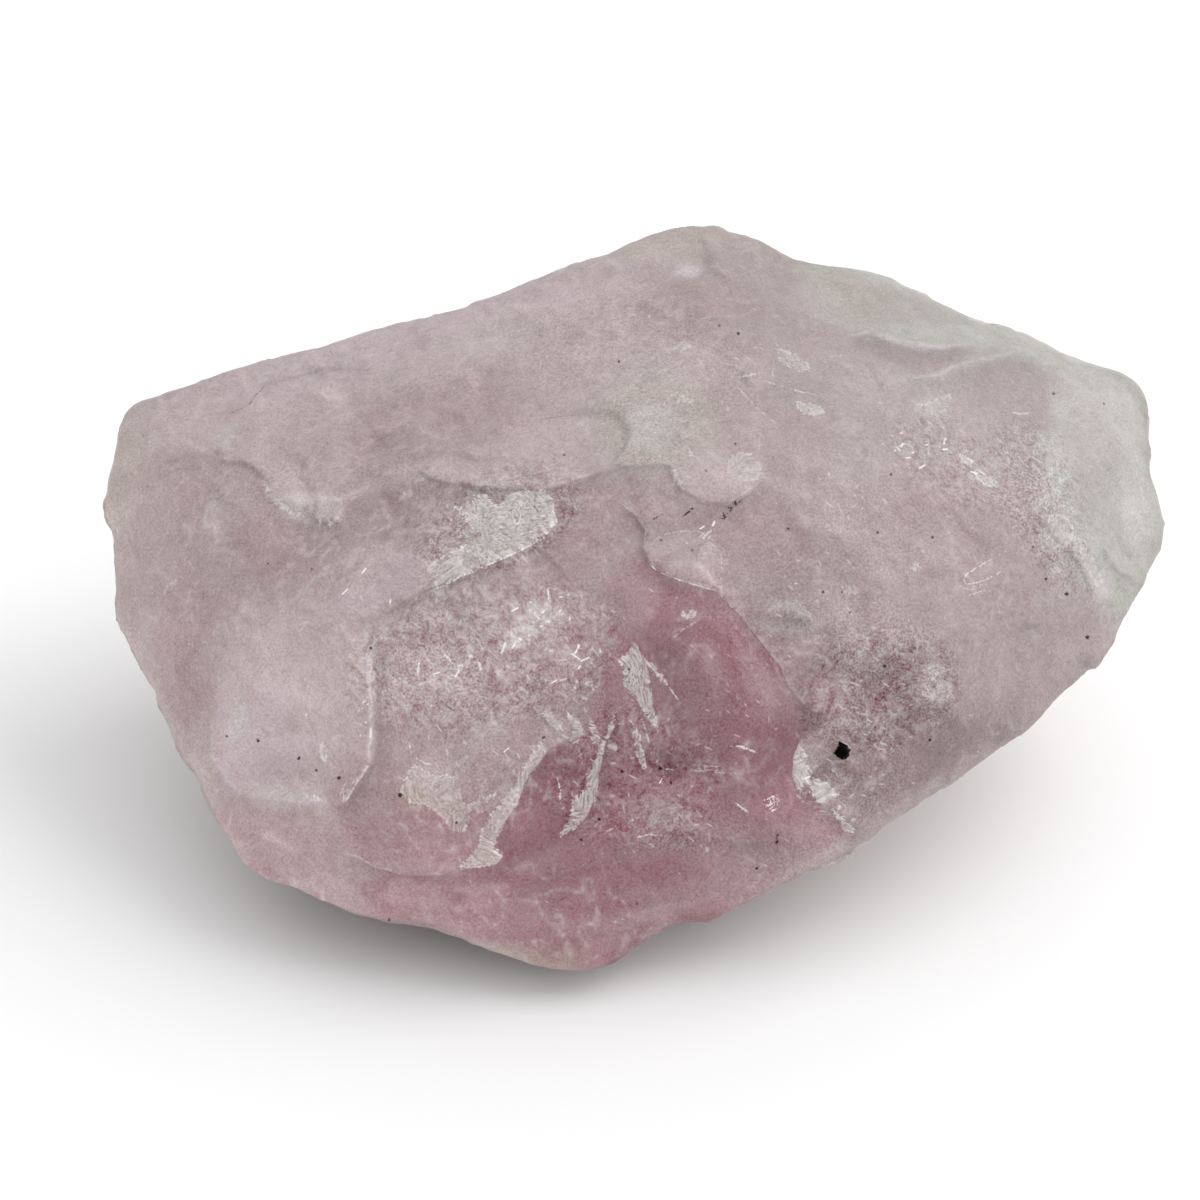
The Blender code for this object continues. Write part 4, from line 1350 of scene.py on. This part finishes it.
    @staticmethod
    def stepped(graph: Graph, colour: Value, below: Value, shade: Value, middle: Value) -> Value:
        """The colour with the steps of the break drawn on it, with painted shade along their feet.

        Args:
            graph: the material.
            colour: the colour so far.
            below: how far below the nearest step the point lies, in millimetres.
            shade: how strong the step is.
            middle: noise of a millimetre about zero.

        Returns:
            The colour with the steps.
        """
        # Painted shade: darker along the foot of each step.
        painted_foot_shade = (below * 10 + 0.5).held() * (1 - below * 0.55).held()
        colour = graph.vector("SCALE", colour, Scale=1 - painted_foot_shade * shade * 0.2)
        lip = (1 - abs(below + 0.14) * 7).held() * (middle * 7 + 0.5).held()
        return graph.mix(lip * shade * 0.5, colour, Tone.CHALK.light)

    @staticmethod
    def whitened(
        graph: Graph, colour: Value, tint: list[Value], depth: Value,
        grain: Value, middle: Value, streaks: Value,
    ) -> Value:
        """The colour with the white splinters and chips laid on it, which are streaked inside.

        Args:
            graph: the material.
            colour: the colour so far.
            tint: the stone's own colour, with the whiteness of the nearest patch as its alpha.
            depth: how far inside a white patch the point lies, in millimetres.
            grain: fine noise about zero.
            middle: noise of a millimetre about zero.
            streaks: fine streaks about zero.

        Returns:
            The colour with the white on it.
        """
        ragged = depth + grain * 0.35 + middle * 0.5 + streaks * 0.32
        white = (ragged * (middle * 8 + 8) + 0.5).held()
        shares = (streaks * 6 + grain * 3 + middle * 4 + 0.5).held()
        inner = graph.mix(shares, Tone.LICHEN.light, Tone.CHALK.light)
        rim = (1 - abs(ragged - 0.10) * 8).held() * (middle * 6 + streaks * 4 + 0.25).held()
        inner = graph.mix(rim * 0.7, inner, Tone.WHITE_AND_PAINTED_GLINT.light)
        clear = ((middle * 0.6 - streaks) * 7 + 0.15).held() * 0.7
        return graph.mix(white * (1 - clear) * (tint[3] * 1.15), colour, inner)

    @staticmethod
    def hairlines(graph: Graph, colour: Value, middle: Value, grain: Value) -> Value:
        """The colour with the bright hairlines and the dark cracks drawn on it.

        Args:
            graph: the material.
            colour: the colour so far.
            middle: noise of a millimetre about zero.
            grain: fine noise about zero.

        Returns:
            The colour with the lines.
        """
        across, strength, _ = graph.parts(graph.attribute("hairs")[1])
        width = (middle * 0.24 + grain * 0.2 + 0.05) * (abs(strength) * 0.6 + 0.5)
        body = ((width - abs(across)) * 16 + 0.3).held()
        bright = body * strength.held() * (middle * 4 + grain * 3 + 0.85).held()
        crack = body * (strength * -1.3).held() * (grain * 9 + middle * 4 + 0.8).held()
        colour = graph.mix(bright, colour, Tone.WHITE_AND_PAINTED_GLINT.light)
        return graph.mix(crack, colour, Tone.CRACK.light)

    @staticmethod
    def speckled(graph: Graph, colour: Value, grain: Value, middle: Value) -> tuple[Value, Value]:
        """The colour with the small dark specks and the dark grain on it.

        Args:
            graph: the material.
            colour: the colour so far.
            grain: fine noise about zero.
            middle: noise of a millimetre about zero.

        Returns:
            The colour with the specks, and how much of a speck lies on the point.
        """
        x, y, radius = graph.parts(graph.attribute("specks")[1])
        away = (x * x + y * y) ** 0.5
        dark = ((radius - away + grain * 0.3 + middle * (radius * 1.6)) * 18 + 0.4).held()
        return graph.mix(dark * (radius * 0.6 + 0.75).held(), colour, Tone.BLACK_GRAIN.light), dark


@dataclass(frozen=True)
class PaleTable:
    """The plain pale surface that the stone lies on, and its finish."""

    width: float = 6.0
    whiteness: float = 0.86
    roughness: float = 0.75

    def build(self) -> bpy.types.Object:
        """Makes the table, which is no part of the stone.

        Returns:
            The table.
        """
        work = bmesh.new()
        bmesh.ops.create_grid(work, x_segments=2, y_segments=2, size=self.width / 2)
        mesh = bpy.data.meshes.new("table")
        work.to_mesh(mesh)
        work.free()
        table = bpy.data.objects.new("table", mesh)
        bpy.context.scene.collection.objects.link(table)
        graph = Graph("matt white paper")
        graph.set(
            Base_Color=(*(self.whiteness,) * 3, 1.0),
            Roughness=self.roughness,
            Specular_IOR_Level=0.2,
        )
        mesh.materials.append(graph.material)
        return table


@dataclass(frozen=True)
class Studio:
    """Plain soft light: a pale room that is bright behind the stone and dim in front of it.

    The room's light grows from the dim end in front to the bright end behind, and a soft
    lamp hangs over the stone.
    """

    dim: float = 0.26
    bright: float = 1.17
    turn: tuple[float, float, float] = (0.6, 0.6, 0.6)
    fades: tuple[float, float] = (-0.75, 0.75)
    lamp_power: float = 2.5
    lamp_width: float = 0.5
    lamp_place: tuple[float, float, float] = (0.45, 0.12, 0.55)

    def build(self) -> None:
        """Lights the scene and sets how its colours show."""
        self.light_room()
        self.hang_lamp()
        bpy.context.scene.view_settings.view_transform = "Standard"

    def light_room(self) -> None:
        """Makes the world a room whose light comes mostly from behind the stone."""
        world = bpy.data.worlds.new("pale room")
        bpy.context.scene.world = world
        world.use_nodes = True
        tree = world.node_tree
        way = tree.nodes.new("ShaderNodeTexCoord")
        share = tree.nodes.new("ShaderNodeVectorMath")
        share.operation = "DOT_PRODUCT"
        share.inputs[1].default_value = self.turn
        grow = tree.nodes.new("ShaderNodeMapRange")
        grow.interpolation_type = "SMOOTHSTEP"
        grow.inputs["From Min"].default_value = self.fades[0]
        grow.inputs["From Max"].default_value = self.fades[1]
        grow.inputs["To Min"].default_value = self.dim
        grow.inputs["To Max"].default_value = self.bright
        backdrop = tree.nodes["Background"]
        backdrop.inputs["Color"].default_value = (1.0, 1.0, 1.0, 1.0)
        tree.links.new(way.outputs["Generated"], share.inputs[0])
        tree.links.new(share.outputs["Value"], grow.inputs["Value"])
        tree.links.new(grow.outputs["Result"], backdrop.inputs["Strength"])

    def hang_lamp(self) -> None:
        """Hangs a wide lamp that faces the stone."""
        light = bpy.data.lights.new("soft lamp", "AREA")
        light.energy = self.lamp_power
        light.size = self.lamp_width
        lamp = bpy.data.objects.new("soft lamp", light)
        lamp.location = self.lamp_place
        lamp.rotation_mode = "QUATERNION"
        lamp.rotation_quaternion = (Vector((0, 0, 0.015)) - lamp.location).to_track_quat("-Z", "Y")
        bpy.context.scene.collection.objects.link(lamp)


@dataclass
class Stone:
    """The stone: a finer copy of its solid, with the small forms and colours laid on it.

    The net is the spacing of its points on the hidden side, in millimetres, and half of
    it where the eye looks. The breaks are given by their width and lean and by how sharp
    their steps are, and the reliefs say how high they stand. The fill is painted light: it
    makes a point paler where the lights leave it in shade and darker where they light it;
    lit gives how much light a point gets, as a number and as its growth with the normal's x and y.
    """

    net: float = 0.54
    merge: float = 0.0001
    rounding: int = 5
    fine_rounding: int = 2
    near_facing: float = 0.12
    wide_breaks: tuple[float, float, int] = (5.5, 0.35, 7)
    small_breaks: tuple[float, float, int] = (1.9, 0.55, 9)
    tiny_breaks: tuple[float, float, int] = (0.95, 0.5, 9)
    worn_relief: float = 0.05
    broken_relief: float = 0.16
    hidden_relief: float = 0.42
    lit: tuple[float, float, float] = (1.41, 0.49, 0.60)
    painted_light_fill: tuple[float, float] = (0.6, 1.6)
    hidden_painted_light_fill: float = 0.95
    patchy: float = 0.05
    foot_height: float = 0.3
    foot_fade: float = 2.0
    node: str = "morganite_stone"
    slot: str = "beryl"

    def build(self, finish: CloudyBeryl) -> bpy.types.Object:
        """Makes the stone.

        Args:
            finish: the material that dresses it.

        Returns:
            The finished piece, which stands for the solid.
        """
        piece = self.finer_copy(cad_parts[self.node])
        mesh = piece.data
        surface = Surface.of_mesh(mesh)
        rough = self.roughness_of(surface)
        self.carve(mesh, surface, rough)
        self.colour(mesh, surface, rough)
        mesh.materials.clear()
        mesh.materials.append(finish.make())
        mesh.shade_smooth()
        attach(piece, "root")
        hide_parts(self.node)
        return piece

    def finer_copy(self, solid: bpy.types.Object) -> bpy.types.Object:
        """Copies the solid with an even, rounded net that is finer towards the eye.

        Args:
            solid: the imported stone.

        Returns:
            The copy.
        """
        work = bmesh.new()
        work.from_mesh(solid.data)
        bmesh.ops.remove_doubles(work, verts=work.verts, dist=self.merge * MM)
        mesh = bpy.data.meshes.new("rough_stone")
        work.to_mesh(mesh)
        work.free()
        piece = bpy.data.objects.new("rough_stone", mesh)
        bpy.context.scene.collection.objects.link(piece)
        even = piece.modifiers.new("even net", "REMESH")
        even.mode = "VOXEL"
        even.voxel_size = self.net * MM
        work = bmesh.new()
        work.from_object(piece, bpy.context.evaluated_depsgraph_get())
        piece.modifiers.clear()
        self.round_off(work, self.rounding)
        work.normal_update()
        eye = Vector(EYE.back)
        near = [
            edge for edge in work.edges
            if all(face.normal.dot(eye) > self.near_facing for face in edge.link_faces)
        ]
        bmesh.ops.subdivide_edges(work, edges=near, cuts=1, use_grid_fill=True)
        self.round_off(work, self.fine_rounding)
        bmesh.ops.triangulate(work, faces=work.faces[:])
        work.to_mesh(mesh)
        work.free()
        return piece

    @staticmethod
    def round_off(work: bmesh.types.BMesh, times: int) -> None:
        """Smooths the net, so that the solid's flat triangles don't show.

        Args:
            work: the net.
            times: how often each point moves halfway to the middle of its neighbours.
        """
        ways = {"use_axis_x": True, "use_axis_y": True, "use_axis_z": True}
        for _ in range(times):
            bmesh.ops.smooth_vert(work, verts=work.verts, factor=0.5, **ways)

    @staticmethod
    def roughness_of(surface: Surface) -> np.ndarray:
        """How freshly broken each point is.

        Args:
            surface: the points.

        Returns:
            A number for each, from 0 for worn to 1.
        """
        seen = np.zeros(len(surface.places))
        for patch in ROUGH:
            depth = patch.depth(surface.seen) / 1.6 + 0.5 + 0.6 * surface.ragged
            seen = np.maximum(seen, smooth(depth))
        hidden = smooth(0.5 + 1.3 * cloud(surface.places, 9.0, 5))
        return surface.shown * seen + (1 - surface.shown) * hidden

    def carve(self, mesh: bpy.types.Mesh, surface: Surface, rough: np.ndarray) -> None:
        """Moves the points out and in along their normals.

        Args:
            mesh: the mesh to move.
            surface: its points.
            rough: how freshly broken each point is.
        """
        drawn = sum(form.height(surface) for form in (*LEDGES, *DISHES, *CRESTS))
        wide = shards(surface.places, *self.wide_breaks)
        small = shards(surface.places, *self.small_breaks)
        tiny = shards(surface.places, *self.tiny_breaks)
        waves = 0.05 * cloud(surface.places, 0.9, 7) + 0.10 * cloud(surface.places, 2.6, 8)
        broken = rough * self.broken_relief * (small + tiny) * 1.3
        worn = (1 - rough) * self.worn_relief * small + waves
        hidden = self.hidden_relief * (wide + 0.8 * small * (0.4 + 0.6 * rough)) + waves
        shown = surface.shown
        height = shown * (drawn + broken + worn + 0.18 * wide) + (1 - shown) * hidden
        standing = smooth((surface.places[:, 2] - self.foot_height) / self.foot_fade)
        places = surface.places + surface.normals * (height * standing)[:, None]
        places[:, 2] = np.maximum(places[:, 2], 0)
        mesh.vertices.foreach_set("co", (places * MM).astype(np.float32).ravel())
        mesh.update()

    def colour(self, mesh: bpy.types.Mesh, surface: Surface, rough: np.ndarray) -> None:
        """Writes the colours and marks of each point to the mesh.

        Args:
            mesh: the mesh to write to.
            surface: its points, as they were before the carving.
            rough: how freshly broken each point is.
        """
        count = len(surface.places)
        tint = self.hidden_tint(surface)
        for patch in TINTS:
            cover = (patch.cover(surface) * surface.shown)[:, None]
            tint = tint * (1 - cover) + np.array(patch.tone.light) * cover
        tint = tint * (1 + self.patchy * self.patches(surface.places))[:, None]
        frost = self.strongest(surface, FROST, 1.5)
        frost = np.maximum(frost, (1 - surface.shown) * 0.5 * rough)
        # The third column is painted light: it evens out the shading of the lights.
        haze_and_painted_light = np.column_stack([self.veils(surface.places), frost, self.painted_light_of(surface)])
        self.write(mesh, "haze_and_painted_light", haze_and_painted_light)
        self.write(mesh, "bend", 0.75 * wander(surface.places, 1.7))
        self.write(mesh, "way", crystal_ways(surface.places, 3.4))

        white = np.full(count, -FAR_OFF)
        whiteness = np.zeros(count)
        for patch, strength in WHITES:
            depth = patch.depth(surface.seen)
            whiteness = np.where(depth > white, strength, whiteness)
            white = np.maximum(white, depth)
        white = np.where(surface.shown > 0.5, white, -FAR_OFF)
        self.write(mesh, "tint", np.column_stack([tint, whiteness]))
        glints = self.strongest(surface, GLINTS, 0.8)
        glints = np.maximum(glints, (1 - surface.shown) * 0.3 * rough)
        self.write(mesh, "marks", np.column_stack([white, glints, rough]))
        self.write(mesh, "steps", self.step_marks(surface))
        self.write(mesh, "hairs", self.hair_marks(surface))
        self.write(mesh, "specks", self.speck_marks(surface))

    @staticmethod
    def patches(places: np.ndarray) -> np.ndarray:
        """Milky and clear patches with ragged edges.

        Args:
            places: points in millimetres, one a row.

        Returns:
            A number for each, from -1 for clear to 1 for milky.
        """
        bent = places + 1.1 * wander(places, 3.5)
        large = smooth(0.5 + 5 * cloud(bent, 5.0, 31, 4))
        small = smooth(0.5 + 4 * cloud(bent, 1.9, 32, 3))
        return 1.1 * large + 0.9 * small - 1.0

    @staticmethod
    def veils(places: np.ndarray) -> np.ndarray:
        """How milky the thin veils make each point.

        Args:
            places: points in millimetres, one a row.

        Returns:
            A number for each, from 0 to 1.
        """
        bent = places + 0.9 * wander(places, 3.0)
        ridge = 1 - np.abs(cloud(bent, 2.6, 21, 2)) * 1.6
        here = np.clip(0.35 + 1.6 * cloud(places, 5.5, 22), 0, 1)
        return 0.75 * np.clip(ridge, 0, 1) ** 9 * here

    def painted_light_of(self, surface: Surface) -> np.ndarray:
        """How much paler or darker each point is painted, as painted light that evens out the shading.

        Args:
            surface: the points.

        Returns:
            What the colour is multiplied by, more in the shade.
        """
        light = self.lit[0] + surface.normals[:, :2] @ np.array(self.lit[1:])
        painted_light_fill = np.clip(1 / np.clip(light, 0.3, 3), *self.painted_light_fill)
        return painted_light_fill * surface.shown + self.hidden_painted_light_fill * (1 - surface.shown)

    @staticmethod
    def strongest(surface: Surface, patches: Sequence[tuple[Shape, float]], fade: float) -> np.ndarray:
        """The most that any of the patches gives each point.

        Args:
            surface: the points.
            patches: drawn patches, each with its strength.
            fade: the width of their soft edge, in millimetres.

        Returns:
            A strength for each point.
        """
        most = np.zeros(len(surface.places))
        for shape, strength in patches:
            most = np.maximum(most, strength * smooth(shape.depth(surface.seen) / fade + 0.5))
        return most * surface.shown

    @staticmethod
    def hidden_tint(surface: Surface) -> np.ndarray:
        """The colours that run through the stone, where nothing is drawn.

        Args:
            surface: the points.

        Returns:
            The colour of each, as linear light.
        """
        blend = np.zeros((len(surface.places), 3)) + np.array(Tone.DUSTY.light)
        layers = (
            (Tone.BLUSH, 14.0, 11, 0.8), (Tone.PALE, 11.0, 12, 0.9),
            (Tone.GREENISH, 17.0, 13, 0.5), (Tone.ROSE, 15.0, 14, 0.4),
        )
        for tone, width, seed, strength in layers:
            cover = strength * smooth(0.15 + 1.3 * cloud(surface.places, width, seed, 3))
            cover = (cover * (1 - 0.75 * surface.shown))[:, None]
            blend = blend * (1 - cover) + np.array(tone.light) * cover
        return blend

    @staticmethod
    def step_marks(surface: Surface) -> np.ndarray:
        """Marks the ledges for the finish.

        Args:
            surface: the points.

        Returns:
            How far below the nearest ledge each point lies, in millimetres, how strongly
            it is shaded, and zero.
        """
        marks = np.zeros((len(surface.places), 3))
        reach = 2.6
        nearest = np.full(len(surface.places), reach)
        for ledge in LEDGES:
            below, along = from_line(surface.seen, ledge.line)
            below = below + ledge.waver * 0.6 * surface.ragged
            length = line_length(ledge.line)
            ends = smooth(along / 1.5) * smooth((length - along) / 1.5) * surface.shown
            held = smooth((reach - np.abs(below)) / 0.8)
            closer = np.abs(below) < nearest
            nearest = np.where(closer, np.abs(below), nearest)
            shade = ledge.shade * ends * held
            marks[closer, :2] = np.column_stack([below, shade])[closer]
        return marks

    @staticmethod
    def hair_marks(surface: Surface) -> np.ndarray:
        """Marks the hairlines for the finish.

        Args:
            surface: the points.

        Returns:
            How far each point lies from the nearest hairline, in millimetres, how strong
            that line is, and zero.
        """
        marks = np.zeros((len(surface.places), 3))
        nearest = np.full(len(surface.places), np.inf)
        for hair in HAIRS:
            across, along = from_line(surface.seen, hair.line)
            length = line_length(hair.line)
            ends = smooth(along / 0.5 + 0.1) * smooth((length - along) / 0.5 + 0.1)
            closer = (np.abs(across) < nearest) & (surface.shown > 0.5)
            nearest = np.where(closer, np.abs(across), nearest)
            strength = hair.strength * ends * smooth((0.6 - np.abs(across)) / 0.2)
            marks[closer, :2] = np.column_stack([across, strength])[closer]
        return marks

    @staticmethod
    def speck_marks(surface: Surface) -> np.ndarray:
        """Marks the specks for the finish.

        Args:
            surface: the points.

        Returns:
            How far right of and below the middle of the nearest speck each point lies, and
            that speck's radius, in millimetres.
        """
        marks = np.full((len(surface.places), 3), -FAR_OFF)
        nearest = np.full(len(surface.places), 0.5 * PIXELS_PER_MM)
        for speck in SPECKS:
            offset = surface.seen - np.array(speck.centre)
            away = np.hypot(*offset.T) - speck.radius * PIXELS_PER_MM
            closer = (away < nearest) & (surface.shown > 0.5)
            nearest = np.where(closer, away, nearest)
            rows = np.column_stack([offset / PIXELS_PER_MM, np.full(len(offset), speck.radius)])
            marks[closer] = rows[closer]
        return marks

    @staticmethod
    def write(mesh: bpy.types.Mesh, name: str, rows: np.ndarray) -> None:
        """Writes an attribute to the mesh's points.

        Args:
            mesh: the mesh.
            name: the attribute's name.
            rows: three numbers for each point, or four for a colour and its alpha.
        """
        coloured = rows.shape[1] == 4
        kind = "FLOAT_COLOR" if coloured else "FLOAT_VECTOR"
        attribute = mesh.attributes.new(name, kind, "POINT")
        item = "color" if coloured else "vector"
        attribute.data.foreach_set(item, rows.astype(np.float32).ravel())


def report(work: str, made: Callable[[], bpy.types.Object | None]) -> None:
    """Makes one piece and logs what it holds.

    Args:
        work: what is made, in words.
        made: the call that makes it.
    """
    piece = made()
    faces = len(piece.data.polygons) if piece is not None and piece.type == "MESH" else 0
    log.info("%s: %d faces", work, faces)


def main() -> None:
    """Builds the stone, its table, the light and the view."""
    logging.basicConfig(level=logging.INFO, format="%(message)s")
    noise.seed_set(NOISE_SEED)
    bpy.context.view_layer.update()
    report("stone", lambda: Stone().build(CloudyBeryl()))
    report("table", PaleTable().build)
    report("studio", Studio().build)
    report("view", EYE.make_camera)


if __name__ == "__main__":
    main()
